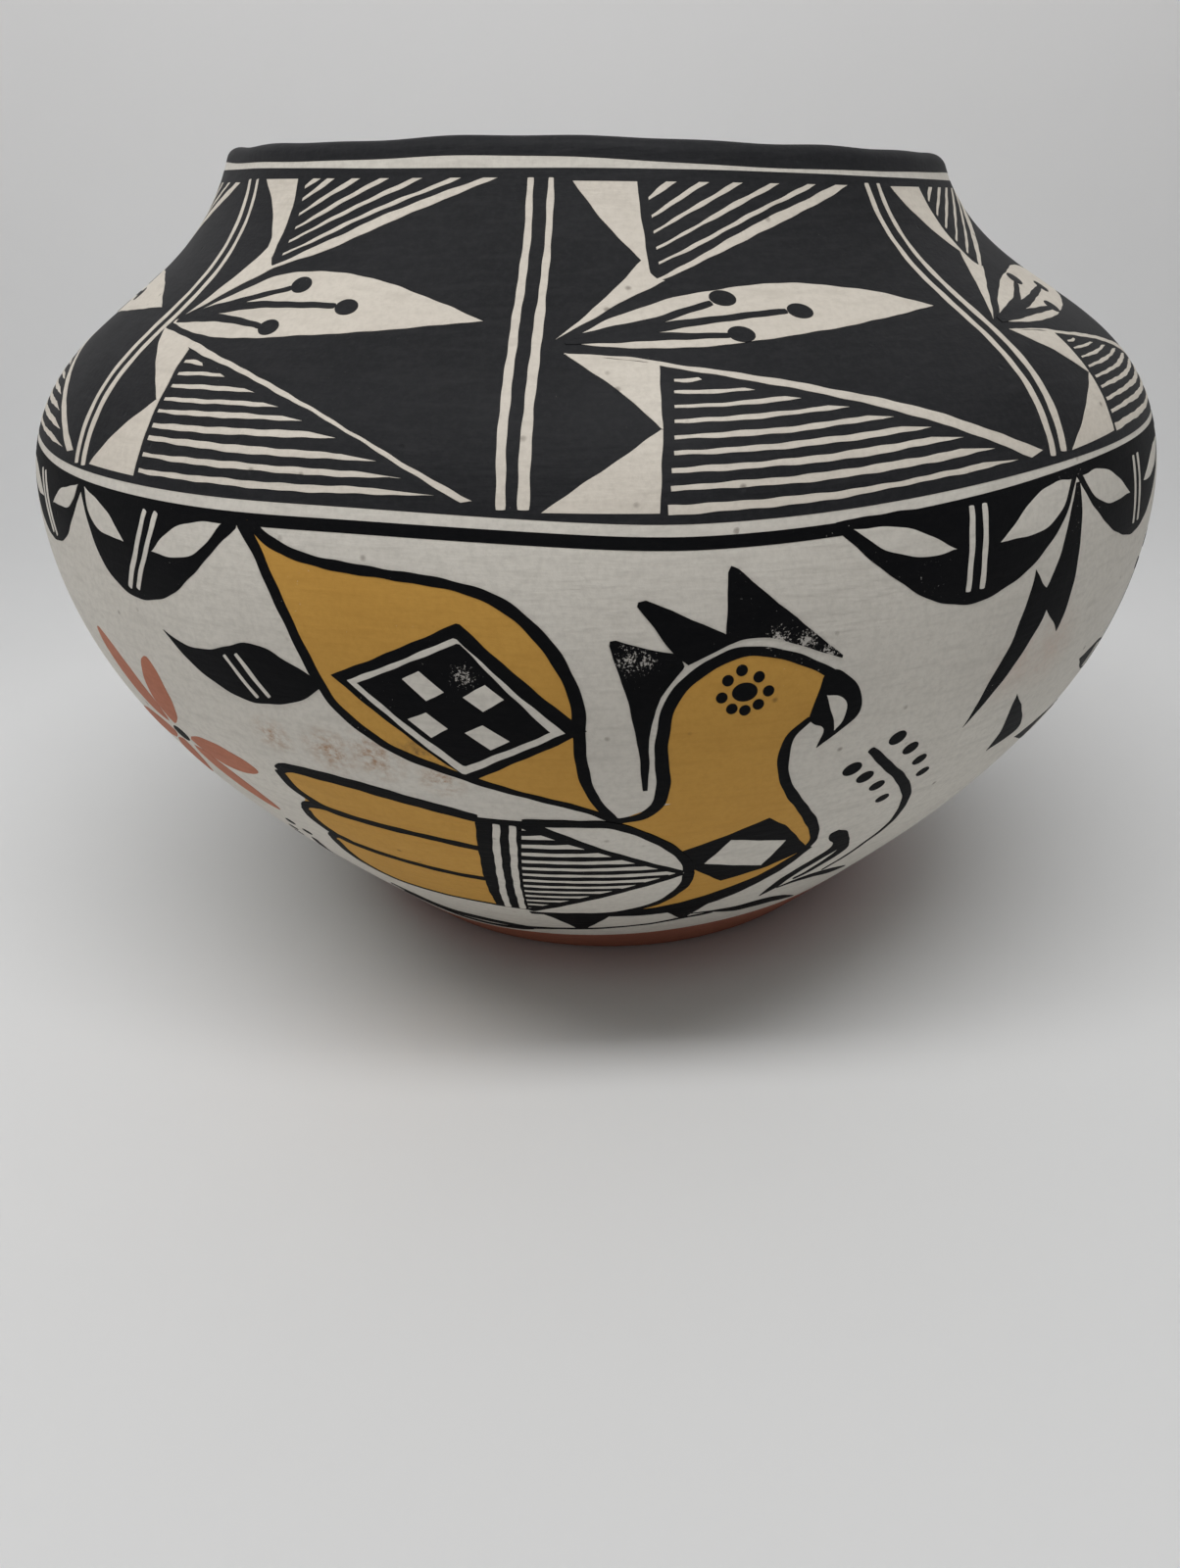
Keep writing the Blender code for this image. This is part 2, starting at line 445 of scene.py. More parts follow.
def noise(tree, vector, scale, detail=4.0, roughness=0.6):
    """A noise texture read in the piece's own coordinates."""
    node = make_node(tree, "ShaderNodeTexNoise", Scale=scale, Detail=detail, Roughness=roughness)
    tree.links.new(vector, node.inputs["Vector"])
    return node.outputs["Fac"]


def ramp(tree, value, low, high):
    """Value rescaled so that low gives 0 and high gives 1."""
    node = make_node(tree, "ShaderNodeMapRange", **{"From Min": low, "From Max": high})
    tree.links.new(value, node.inputs["Value"])
    return node.outputs["Result"]


def math_node(tree, operation, one, two):
    """A Math node of two inputs, each a socket or a number."""
    node = make_node(tree, "ShaderNodeMath", operation=operation)
    for socket, value in zip(node.inputs, (one, two)):
        if isinstance(value, (int, float)):
            socket.default_value = value
        else:
            tree.links.new(value, socket)
    return node.outputs[0]


def mix(tree, share, one, two):
    """Mix of two colours, each a socket or a plain colour, by a share."""
    node = make_node(tree, "ShaderNodeMix", data_type="RGBA")
    if isinstance(share, (int, float)):
        node.inputs["Factor"].default_value = share
    else:
        tree.links.new(share, node.inputs["Factor"])
    for socket, value in ((node.inputs[6], one), (node.inputs[7], two)):
        if isinstance(value, tuple):
            socket.default_value = (*value, 1.0)
        else:
            tree.links.new(value, socket)
    return node.outputs[2]


def clay_grain_group():
    """Grain of hand-polished slip, shared by every finish.

    Cloud: broad mottling. Grain: fine tooth. Strokes: polishing marks that run round the jar.
    Pits: rare pinholes, 1 inside one. Height: grain and strokes, with the pinholes sunk in.
    """
    tree = bpy.data.node_groups.new("clay_grain", "ShaderNodeTree")
    outputs = ("Cloud", "Grain", "Strokes", "Pits", "Height")
    for name in outputs:
        tree.interface.new_socket(name, in_out="OUTPUT", socket_type="NodeSocketFloat")
    output = tree.nodes.new("NodeGroupOutput")
    place = tree.nodes.new("ShaderNodeTexCoord").outputs["Object"]
    cloud = noise(tree, place, 28.0, 5.0, 0.62)
    grain = noise(tree, place, 900.0, 3.0, 0.7)
    stretch = make_node(tree, "ShaderNodeMapping", Scale=(1.0, 1.0, 7.0))
    tree.links.new(place, stretch.inputs["Vector"])
    strokes = noise(tree, stretch.outputs["Vector"], 120.0, 3.0, 0.55)
    cells = make_node(tree, "ShaderNodeTexVoronoi", Scale=330.0, Randomness=1.0)
    tree.links.new(place, cells.inputs["Vector"])
    chance = make_node(tree, "ShaderNodeTexWhiteNoise", noise_dimensions="3D")
    tree.links.new(cells.outputs["Color"], chance.inputs["Vector"])
    rare = ramp(tree, chance.outputs["Value"], 0.93, 0.95)
    near = ramp(tree, cells.outputs["Distance"], 0.22, 0.08)
    pits = math_node(tree, "MULTIPLY", rare, near)
    tooth = math_node(tree, "MULTIPLY", grain, 0.35)
    height = math_node(tree, "ADD", tooth, math_node(tree, "MULTIPLY", strokes, 0.8))
    height = math_node(tree, "SUBTRACT", height, math_node(tree, "MULTIPLY", pits, 0.9))
    for name, socket in zip(outputs, (cloud, grain, strokes, pits, height)):
        tree.links.new(socket, output.inputs[name])
    return tree


def paint_wear_group():
    """Where thin paint is rubbed through: fine flecks, more of them in broad patches and at spots.

    Bare is 1 where fleck noise + Amount x patch noise + 0.27 x Spot passes a threshold.
    """
    tree = bpy.data.node_groups.new("paint_wear", "ShaderNodeTree")
    tree.interface.new_socket("Amount", in_out="INPUT", socket_type="NodeSocketFloat")
    tree.interface.new_socket("Spot", in_out="INPUT", socket_type="NodeSocketFloat")
    tree.interface.new_socket("Bare", in_out="OUTPUT", socket_type="NodeSocketFloat")
    entry = tree.nodes.new("NodeGroupInput")
    output = tree.nodes.new("NodeGroupOutput")
    place = tree.nodes.new("ShaderNodeTexCoord").outputs["Object"]
    flecks = noise(tree, place, 2100.0, 4.0, 0.7)
    patches = noise(tree, place, 38.0, 3.0, 0.5)
    gathered = math_node(tree, "ADD", flecks, math_node(tree, "MULTIPLY", patches, entry.outputs["Amount"]))
    gathered = math_node(tree, "ADD", gathered, math_node(tree, "MULTIPLY", entry.outputs["Spot"], 0.27))
    tree.links.new(ramp(tree, gathered, 0.945, 0.99), output.inputs["Bare"])
    return tree


def near_spots(tree, place, spots):
    """1 at the middle of each spot on the wall, falling to 0 at its reach in millimetres."""
    total = 0.0
    for around, up, reach in spots:
        away = make_node(tree, "ShaderNodeVectorMath", operation="DISTANCE")
        tree.links.new(place, away.inputs[0])
        away.inputs[1].default_value = clay(np.array(around), np.array(up)).tolist()
        total = math_node(tree, "MAXIMUM", ramp(tree, away.outputs["Value"], reach * MM, 0.0), total)
    return total


def finish_material(name, colours, rough, bump, gloss, wear=None, pits=None, rubbed=(), stains=()):
    """A matte fired finish: two mottled tones and a grain tone, then what the finish calls for.

    wear is (amount, bare colour) for paint rubbed through in flecks and at the rubbed spots. pits is
    the colour of pinholes. Each stain is (spots, colour, low, high): the colour shows at the spots as
    far as speckle noise rises from low to high.
    """
    material = bpy.data.materials.new(name)
    material.use_nodes = True
    tree = material.node_tree
    shader = tree.nodes["Principled BSDF"]
    place = tree.nodes.new("ShaderNodeTexCoord").outputs["Object"]
    grain = tree.nodes.new("ShaderNodeGroup")
    grain.node_tree = GRAIN
    colour = mix(tree, ramp(tree, grain.outputs["Cloud"], 0.34, 0.66), *colours[:2])
    tooth = math_node(tree, "MULTIPLY", ramp(tree, grain.outputs["Grain"], 0.42, 0.7), 0.5)
    colour = mix(tree, tooth, colour, colours[2])
    marks = math_node(tree, "MULTIPLY", ramp(tree, grain.outputs["Strokes"], 0.50, 0.75), 0.55)
    colour = mix(tree, marks, colour, colours[2])
    if pits:
        colour = mix(tree, math_node(tree, "MULTIPLY", grain.outputs["Pits"], 0.7), colour, pits)
    for spots, tint, low, high in stains:
        speckle = ramp(tree, noise(tree, place, 520.0, 5.0, 0.75), low, high)
        share = math_node(tree, "MULTIPLY", speckle, near_spots(tree, place, spots))
        colour = mix(tree, share, colour, tint)
    if wear:
        worn = tree.nodes.new("ShaderNodeGroup")
        worn.node_tree = WEAR
        worn.inputs["Amount"].default_value = wear[0]
        if rubbed:
            tree.links.new(near_spots(tree, place, rubbed), worn.inputs["Spot"])
        colour = mix(tree, worn.outputs["Bare"], colour, wear[1])
    tree.links.new(colour, shader.inputs["Base Color"])
    uneven = math_node(tree, "ADD", math_node(tree, "MULTIPLY", grain.outputs["Cloud"], 0.22), rough - 0.11)
    tree.links.new(uneven, shader.inputs["Roughness"])
    shader.inputs["Specular IOR Level"].default_value = gloss
    relief = make_node(tree, "ShaderNodeBump", Strength=bump, Distance=0.0004)
    tree.links.new(grain.outputs["Height"], relief.inputs["Height"])
    tree.links.new(relief.outputs["Normal"], shader.inputs["Normal"])
    return material


GRAIN = clay_grain_group()
WEAR = paint_wear_group()

# Spots on the wall, as (around, up, reach): rubbed paint, brown stains, a smear on the tail and a warm blush
RUBBED = [(1.3, 117.0, 5.0), (2.6, 116.5, 3.4), (12.2, 118.8, 3.0), (14.3, 118.2, 2.6), (16.2, 115.6, 2.4),
          (-10.3, 113.8, 3.6)]
STAINED = [(-23.4, 95.8, 6.5), (-19.2, 96.2, 7.0), (-29.0, 97.0, 5.0), (-14.0, 92.0, 5.0)]
SMEARED = [(-15.4, 98.0, 5.0), (-14.2, 95.6, 4.5)]
BLUSHED = [(36.0, 104.0, 9.0), (40.5, 105.0, 10.0)]

# Finishes: two mottled tones and a grain tone, then roughness, bump and gloss
BARE_SLIP = (0.62, 0.575, 0.50)
SLIP_PITS = (0.20, 0.17, 0.14)
WHITE = finish_material(
    "white_slip", [(0.675, 0.645, 0.58), (0.625, 0.595, 0.535), (0.5, 0.475, 0.425)], 0.62, 0.42, 0.3,
    pits=SLIP_PITS,
    stains=[(STAINED, (0.34, 0.165, 0.06), 0.43, 0.64), (BLUSHED, (0.56, 0.36, 0.27), 0.2, 1.4)])
BONE = finish_material(
    "panel_white", [(0.68, 0.63, 0.55), (0.63, 0.58, 0.505), (0.52, 0.475, 0.41)], 0.62, 0.42, 0.3,
    pits=SLIP_PITS)
# band_black_thin_with_painted_sheen is a lighter copy of black_paint for the lip, the shoulder band and the
# stamens: partly thinner, brushed-grey paint, and partly a painted sheen standing in for the light from above
# on these upward-facing parts
THIN_BLACK_WITH_PAINTED_SHEEN = finish_material(
    "band_black_thin_with_painted_sheen", [(0.0125, 0.013, 0.015), (0.009, 0.0095, 0.011), (0.022, 0.022, 0.024)], 0.62, 0.4, 0.14,
    wear=(0.40, (0.22, 0.21, 0.19)))
BLACK = finish_material(
    "black_paint", [(0.003, 0.0033, 0.0042), (0.0024, 0.0026, 0.0033), (0.0055, 0.0055, 0.006)], 0.6, 0.35,
    0.06, wear=(0.42, (0.42, 0.4, 0.37)), rubbed=RUBBED)
OCHRE = finish_material(
    "ochre_paint", [(0.57, 0.315, 0.064), (0.52, 0.28, 0.055), (0.465, 0.245, 0.046)], 0.66, 0.3, 0.2,
    wear=(0.40, BARE_SLIP), pits=(0.16, 0.08, 0.02), stains=[(SMEARED, (0.13, 0.075, 0.03), 0.42, 0.66)])
RED = finish_material(
    "red_slip", [(0.30, 0.105, 0.06), (0.25, 0.085, 0.05), (0.21, 0.07, 0.042)], 0.68, 0.35, 0.25,
    pits=(0.10, 0.04, 0.03))
PETAL = finish_material(
    "petal_paint", [(0.46, 0.172, 0.10), (0.42, 0.15, 0.087), (0.36, 0.125, 0.07)], 0.68, 0.3, 0.2,
    wear=(0.40, BARE_SLIP))
CLAY = finish_material(
    "inner_clay", [(0.5, 0.44, 0.37), (0.44, 0.38, 0.31), (0.36, 0.3, 0.24)], 0.8, 0.6, 0.25,
    pits=(0.18, 0.14, 0.11))


def make_skin():
    """The clay body: the whole outline turned through a full circle on a grid, closed at both poles."""
    wall_end = LENGTH[WALL_END]
    stops = [(LENGTH[0], 16), (-5.0, 10), (0.0, 126), (wall_end, 16), (wall_end + math.pi * WALL / 2, 62),
             (LENGTH[-1], 0)]
    runs = zip(stops, stops[1:])
    parts = [np.linspace(low, high, count, endpoint=False) for (low, count), (high, _) in runs]
    up = np.concatenate([*parts, [LENGTH[-1]]])
    around = np.linspace(0.0, 360.0, TURN_STEPS)
    points = clay(around[:, None], up[None, :])
    quads = grid_quads(np.arange(points.size // 3).reshape(points.shape[:2]))
    inside = np.tile((up[:-1] + up[1:]) / 2 > LIP_INSIDE - 1.0, len(around) - 1)
    skin = mesh_object("clay_body", points, quads, [WHITE, CLAY], inside)
    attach(skin, "root")
    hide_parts(*CAD_NODES)


def bells(around, shapes):
    """Sum of bell curves round the jar, each (angle, spread to the left, spread to the right, size)."""
    total = 0.0
    for angle, left, right, size in shapes:
        off = (around - angle + 180) % 360 - 180
        total = total + size * np.exp(-((off / np.where(off < 0, left, right)) ** 2))
    return total


def stripe_sag(around):
    """How far the belly stripe sags below its usual height: bell curves."""
    return bells(around, STRIPE_SAGS)


def stripe_top(around):
    """Upper edge of the white belly stripe: its middle, less its sag, plus half its width and bell curves."""
    return STRIPE_MIDDLE - stripe_sag(around) + (STRIPE_HALF + bells(around, STRIPE_SWELLS))


def stripe_foot(around):
    """Lower edge of the white belly stripe: its middle, less its sag, half its width and bell curves."""
    return STRIPE_MIDDLE - stripe_sag(around) - (STRIPE_HALF + bells(around, STRIPE_SWELLS))


def belly_line_foot(around):
    """Lower edge of the black line under the belly stripe: one line's width below the stripe."""
    return stripe_foot(around) - BELLY_LINE


def band_top(around):
    """Upper edge of the shoulder band: level, less a share of the sine, plus a ripple of five waves."""
    turn = np.radians(around)
    return BAND_TOP - RIM_LEAN * np.sin(turn) + BAND_RIPPLE * np.sin(5 * turn)


def lip_paint_foot(around):
    """Lower edge of the black lip: level, less shares of a sine, two squared sines and bell curves."""
    turn = np.radians(around)
    waves = RIM_LEAN * np.sin(turn) + 0.2 * np.sin(turn) ** 2 + 0.7 * np.sin(2 * turn) ** 2
    return LIP_PAINT - waves - bells(around, LIP_DIPS)


def foot_slip_top(around):
    """Upper edge of the red slip on the foot: level, plus a share of the sine of the angle."""
    return FOOT_SLIP_TOP + FOOT_SLIP_LEAN * np.sin(np.radians(around + FOOT_SLIP_TURN))


def make_rings():
    """Black lip, black shoulder band, belly line and the red slip on the foot and under it."""
    # The lip and the shoulder band take the lighter black, whose colour holds a painted sheen from the light
    # above
    for name, material, slot, low, high, step in (
            ("lip_paint", THIN_BLACK_WITH_PAINTED_SHEEN, "black_paint", lip_paint_foot, LIP_INSIDE, 0.35),
            ("shoulder_band", THIN_BLACK_WITH_PAINTED_SHEEN, "black_paint", stripe_top, band_top, FILM_STEP),
            ("belly_line", BLACK, "black_paint", belly_line_foot, stripe_foot, FILM_STEP),
            ("foot_slip", RED, "red_slip", LENGTH[0], foot_slip_top, 0.68)):
        ring = Paint(name, material, slot, 1, turned(0.0))
        ring.ring(low, high, step)
        ring.finish()


# Shoulder panels: each lies between two dividers, q runs from 0 at its left one to 1 at its right one

PANEL_FOOT = 139.2
PANEL_TOP = 201.9
FRONT_TOP = 201.4
PANEL_SAG_TOP = 163.0
DIVIDER_TOP = [-52.9, -6.1, 39.5, 84.2, 128.9, 173.6, 218.3, 263.1]
DIVIDER_FOOT = [-49.1, -6.25, 39.1, 84.7, 130.2, 175.7, 221.1, 266.6]
DIVIDER_BOW = [0.9, -0.1, 0.35, 0.0, 0.0, 0.0, 0.0, 0.0]
DIVIDER_SWAY = [-0.8, 0.0, 0.4, 0.3, -0.4, 0.2, -0.3, 0.4]
SWAY_REACH = 0.1
PANEL_LIFT = [0.0, 0.0, -1.2, 0.6, 0.0, -0.5, 0.7, -0.3]
LIFT_MIDDLE = 168.0
LIFT_SPREAD = 13.0


def divider(number, up):
    """Angle of a divider at a height: straight from foot to top, plus a parabola for its bow."""
    whole, number = divmod(number, len(DIVIDER_TOP))
    rise = (up - PANEL_FOOT) / (PANEL_TOP - PANEL_FOOT)
    straight = DIVIDER_FOOT[number] + rise * (DIVIDER_TOP[number] - DIVIDER_FOOT[number])
    return straight + 4 * DIVIDER_BOW[number] * rise * (1 - rise) + 360 * whole


def divider_sway(number, up):
    """How far a divider sways to the right at a height: one whole sine wave from foot to top."""
    rise = (up - PANEL_FOOT) / (PANEL_TOP - PANEL_FOOT)
    return DIVIDER_SWAY[number % len(DIVIDER_SWAY)] * np.sin(2 * np.pi * rise)


def panel_place(number):
    """Turns (q, up) in one panel into (around, up): straight across between its two dividers.

    A divider's sway moves what lies near it, by a bell curve of the distance in q. PANEL_LIFT moves
    the leaf and what is near it up or down, by a bell curve of the height from LIFT_MIDDLE.
    The foot of a drawing sags with the belly stripe at the drawing's home panel. In other panels
    that sag is swapped for the sag at their own place, fading out up to PANEL_SAG_TOP.
    """
    home = panel_drawing(number)["home"]

    def place(points):
        """(q, up) points as (around, up) points."""
        q, up = np.asarray(points, float).T
        left, right = divider(number, up), divider(number + 1, up)
        around = left + q * (right - left)
        around = around + divider_sway(number, up) * np.exp(-((q / SWAY_REACH) ** 2))
        around = around + divider_sway(number + 1, up) * np.exp(-(((1 - q) / SWAY_REACH) ** 2))
        at_home = divider(home, up) + q * (divider(home + 1, up) - divider(home, up))
        fade = np.clip((PANEL_SAG_TOP - up) / (PANEL_SAG_TOP - PANEL_FOOT), 0.0, 1.0)
        lift = PANEL_LIFT[number % len(PANEL_LIFT)] * np.exp(-(((up - LIFT_MIDDLE) / LIFT_SPREAD) ** 2))
        return np.column_stack([around, up + lift + fade * (stripe_sag(at_home) - stripe_sag(around))])
    return place


# The two ways a panel was drawn, as (q, up) points. A line of the upper hatching is (left, up, right end),
# one of the lower hatching is (left, up, right, up of the tip, width).
FRONT_PANEL = {
    "home": 1,
    "top": FRONT_TOP,
    "wedge": ([(0.082, FRONT_TOP), (0.244, 186.5)], [(0.252, FRONT_TOP), (0.258, 191.0), (0.259, 183.8)]),
    "arm": ([(0.057, 169.3), (0.243, 186.6), (0.26, 183.7), (0.273, 182.5)],
            [(0.057, 169.3), (0.118, 173.1), (0.184, 177.3), (0.29, 182.2)]),
    "upper_sweep": (
        [(0.272, 182.6), (0.323, 184.9), (0.383, 187.5), (0.449, 190.2), (0.519, 192.8), (0.595, 195.3),
         (0.767, 199.6), (0.845, FRONT_TOP)],
        [(0.271, 181.9), (0.326, 183.8), (0.387, 186.2), (0.453, 188.7), (0.521, 190.9), (0.596, 193.2),
         (0.768, 197.9), (0.893, FRONT_TOP)]),
    "upper_hatch": [
        (0.277, 198.4, 0.343), (0.28, 195.2, 0.432), (0.28, 192.2, 0.528), (0.281, 189.0, 0.639),
        (0.281, 185.9, 0.76)],
    "leaf": ([(0.085, 169.4), (0.158, 173.5), (0.218, 175.8), (0.281, 177.9), (0.348, 179.3), (0.45, 180.5),
              (0.555, 181.1), (0.66, 180.2), (0.766, 178.3), (0.835, 176.2), (0.912, 173.2)],
             [(0.085, 168.5), (0.155, 167.5), (0.263, 167.0), (0.345, 167.1), (0.42, 167.6), (0.562, 169.2),
              (0.709, 170.8), (0.912, 173.2)]),
    "stamens": [([(0.085, 169.3), (0.231, 172.4), (0.306, 174.7), (0.378, 176.9)], (0.404, 177.9)),
                ([(0.085, 169.1), (0.23, 171.2), (0.331, 172.5), (0.425, 173.6), (0.534, 174.4)],
                 (0.563, 174.3)),
                ([(0.075, 169.0), (0.183, 169.5), (0.294, 169.5), (0.393, 169.3)], (0.416, 169.5))],
    "lower_wedge": (
        [(0.08, 166.0), (0.17, 158.9), (0.2355, 151.8)], [(0.075, 166.5), (0.246, 163.8), (0.24, 151.6)]),
    "foot_wedge": ([(0.2355, 151.6), (0.044, PANEL_FOOT)], [(0.24, 151.6), (0.226, PANEL_FOOT - 0.5)]),
    "lower_sweep": (
        [(0.075, 166.4), (0.191, 165.4), (0.279, 163.6), (0.386, 161.3), (0.516, 158.0), (0.707, 151.9),
         (0.955, 141.5)],
        [(0.075, 166.2), (0.192, 164.7), (0.273, 162.7), (0.384, 160.1), (0.512, 156.5), (0.697, 150.2),
         (0.921, 140.7)]),
    "lower_hatch": [
        (0.268, 160.4, 0.318, 160.3, 0.7), (0.265, 158.2, 0.407, 157.8, 0.7),
        (0.262, 155.5, 0.485, 155.7, 0.75), (0.259, 152.9, 0.568, 153.4, 0.8),
        (0.256, 150.2, 0.645, 150.9, 0.9), (0.253, 147.7, 0.712, 148.4, 0.95),
        (0.247, 145.0, 0.772, 146.0, 1.05), (0.244, 142.3, 0.835, 143.4, 1.1)],
    "foot_row": (
        [(0.238, 140.0), (0.45, 140.1), (0.66, 140.8), (0.8, 141.5)],
        [(0.238, 138.4), (0.45, 138.8), (0.66, 139.9), (0.885, 140.9)]),
    "hatch_bow": -0.1,
}
LEFT_PANEL = {
    "home": 0,
    "top": PANEL_TOP,
    "wedge": ([(0.082, PANEL_TOP), (0.14, 198.3), (0.178, 194.5), (0.208, 191.0), (0.214, 188.0)],
              [(0.245, PANEL_TOP), (0.25, 197.4), (0.251, 193.6), (0.247, 189.5), (0.252, 186.8)]),
    "arm": ([(0.061, 172.0), (0.112, 178.7), (0.172, 184.9), (0.214, 189.0), (0.25, 187.0), (0.268, 184.9)],
            [(0.061, 172.0), (0.167, 178.9), (0.219, 181.6), (0.29, 184.9)]),
    "upper_sweep": (
        [(0.268, 184.9), (0.327, 187.0), (0.396, 189.6), (0.467, 191.9), (0.536, 194.2), (0.606, 196.3),
         (0.744, 199.7), (0.85, PANEL_TOP)],
        [(0.272, 184.2), (0.353, 186.5), (0.446, 189.0), (0.547, 192.5), (0.647, 195.5), (0.747, 198.3),
         (0.888, PANEL_TOP)]),
    "upper_hatch": [
        (0.281, 200.4, 0.326), (0.282, 198.2, 0.38), (0.286, 195.5, 0.47), (0.29, 192.9, 0.564),
        (0.287, 190.2, 0.665), (0.287, 187.5, 0.774)],
    "leaf": ([(0.045, 170.7), (0.156, 176.1), (0.221, 179.1), (0.286, 182.1), (0.346, 183.5), (0.44, 184.3),
              (0.551, 183.7), (0.642, 182.3), (0.729, 180.1), (0.812, 177.4), (0.906, 173.6)],
             [(0.045, 169.9), (0.153, 168.4), (0.254, 168.0), (0.375, 168.4), (0.476, 169.3), (0.6, 170.4),
              (0.715, 171.5), (0.906, 173.6)]),
    "stamens": [([(0.055, 171.0), (0.225, 176.1), (0.319, 178.6), (0.389, 180.3)], (0.412, 181.0)),
                ([(0.055, 170.9), (0.181, 174.0), (0.286, 175.8), (0.422, 176.4), (0.545, 176.5)],
                 (0.575, 176.3)),
                ([(0.055, 170.8), (0.16, 172.2), (0.244, 172.2), (0.33, 171.6), (0.369, 171.0)],
                 (0.394, 171.0))],
    "lower_wedge": (
        [(0.03, 168.7), (0.061, 165.3), (0.117, 160.7), (0.187, 154.7), (0.2, 153.8)],
        [(0.03, 168.7), (0.194, 165.0), (0.199, 160.6), (0.209, 155.8), (0.212, 152.5)]),
    "foot_wedge": (
        [(0.2, 153.8), (0.118, 146.7), (0.045, PANEL_FOOT + 1.0)],
        [(0.212, 152.6), (0.218, 145.6), (0.217, PANEL_FOOT + 1.0)]),
    "lower_sweep": (
        [(0.03, 168.7), (0.163, 167.0), (0.279, 164.6), (0.375, 162.4), (0.458, 160.1), (0.598, 155.4),
         (0.713, 150.8), (0.811, 146.4), (0.935, 140.9)],
        [(0.03, 168.4), (0.194, 164.9), (0.298, 162.9), (0.387, 161.0), (0.467, 158.7), (0.602, 154.5),
         (0.715, 149.9), (0.812, 145.5), (0.915, 140.6)]),
    "lower_hatch": [
        (0.21, 162.0, 0.278, 161.5, 0.85), (0.217, 159.3, 0.363, 159.7, 0.8),
        (0.222, 156.8, 0.463, 157.1, 0.85), (0.224, 154.1, 0.535, 154.7, 0.85),
        (0.224, 151.8, 0.598, 152.5, 0.9), (0.228, 149.1, 0.677, 149.9, 1.1),
        (0.23, 146.9, 0.762, 146.5, 1.15), (0.23, 144.0, 0.812, 144.0, 1.0)],
    "foot_row": (
        [(0.23, 141.7), (0.55, 142.3), (0.76, 142.4)], [(0.23, 140.9), (0.55, 141.1), (0.871, 141.6)]),
    "hatch_bow": 0.35,
}


def panel_drawing(number):
    """Which drawing a panel has: every fourth one from the left panel is drawn as that one."""
    return LEFT_PANEL if number % 4 == 0 else FRONT_PANEL


def panel_white(number):
    """The bare slip left showing in one panel: divider stripes, wedges, sweeps, hatching and leaf."""
    drawing = panel_drawing(number)
    white = Paint(f"panel_{number + 1}_white", BONE, "white_slip", 2, panel_place(number), seed=100 + number)
    for side, widths in ((-1, [1.6, 1.5, 1.2]), (1, [1.9, 1.6, 1.0])):
        line = [(side * 0.0175, PANEL_FOOT + 0.4), (side * 0.0228, 170), (side * 0.0270, PANEL_TOP)]
        white.stroke(line, widths, cap=0.12)
    for part in ("wedge", "arm", "lower_wedge", "foot_wedge"):
        white.area(*drawing[part])
    for part in ("upper_sweep", "lower_sweep", "foot_row", "leaf"):
        white.fill(*drawing[part])
    top = drawing["top"]
    for left, up, right in drawing["upper_hatch"]:
        middle = 0.5 * (left + right)
        bow = 0.5 * (up + top) + 0.15 * (right - left) * (top - up)
        white.fill([(left, up + 0.3), (middle - 0.006, bow + 0.3), (right - 0.015, top)],
                   [(left, up - 0.3), (middle + 0.006, bow - 0.3), (right + 0.015, top)])
    for left, up, right, tip, width in drawing["lower_hatch"]:
        middle = 0.5 * (left + right)
        bow = 0.5 * (up + tip) + drawing["hatch_bow"]
        taper = 0.13 * (right - left)
        white.fill([(left, up + 0.4 * width), (middle, bow + 0.6 * width),
                    (right - taper, tip + 0.75 * width)],
                   [(left, up - 0.4 * width), (middle, bow - 0.6 * width), (right, tip)])
    white.finish()


def panel_stamens(number):
    """Three black stamens with a dot at their ends, lying on the white leaf."""
    # The stamens take the lighter black, whose colour holds a painted sheen from the light above
    black = Paint(
        f"panel_{number + 1}_stamens", THIN_BLACK_WITH_PAINTED_SHEEN, "black_paint", 3, panel_place(number), seed=200 + number)
    for points, dot in panel_drawing(number)["stamens"]:
        black.stroke(points, [1.8, 2.2, 1.6, 1.3], cap=0.3)
        black.dot(dot, 2.25, 1.85, lean=-12)
    black.finish()


# Lower register: the bird, twice round the jar

TAIL_TOP = [(-26.7, 136.2), (-24.8, 133.4), (-22.2, 131.4), (-18.9, 130.4), (-15.5, 129.8), (-11.8, 128.9),
            (-8.6, 127.2), (-6.3, 124.3), (-4.3, 119.6), (-3.1, 114.7), (-2.4, 109.3), (-2.4, 104.0),
            (-2.4, 98.3), (-2.0, 91.8), (-1.1, 86.4), (0.0, 82.2)]
TAIL_FOOT = [
    (-27.4, 136.0), (-26.2, 132.7), (-25.3, 129.2), (-23.9, 122.3), (-22.8, 115.4), (-22.0, 110.3),
    (-21.1, 106.2), (-19.3, 102.0), (-17.2, 98.5), (-14.6, 95.8), (-12.3, 93.8), (-9.3, 91.2), (-5.4, 88.3),
    (-2.4, 85.7), (0.0, 82.4)]
NECK_BACK = [
    (0.2, 82.1), (2.5, 83.7), (3.7, 86.9), (4.0, 91.7), (3.8, 97.9), (3.8, 102.2), (4.1, 107.3), (4.8, 110.5),
    (6.0, 113.5), (7.8, 115.9), (9.5, 117.0), (11.4, 116.7), (13.4, 115.3), (15.3, 113.2), (16.8, 111.2)]
THROAT = [(15.3, 103.6), (14.0, 100.9), (13.6, 97.6), (13.7, 94.3), (14.2, 90.1), (15.4, 85.2), (17.3, 79.3),
          (19.4, 72.4), (20.5, 66.8), (20.5, 62.6)]
BELLY_EDGE = [(-0.5, 35.9), (3.5, 36.9), (7.8, 39.2), (12.5, 44.0), (16.5, 50.7), (19.7, 58.4), (20.5, 62.6)]
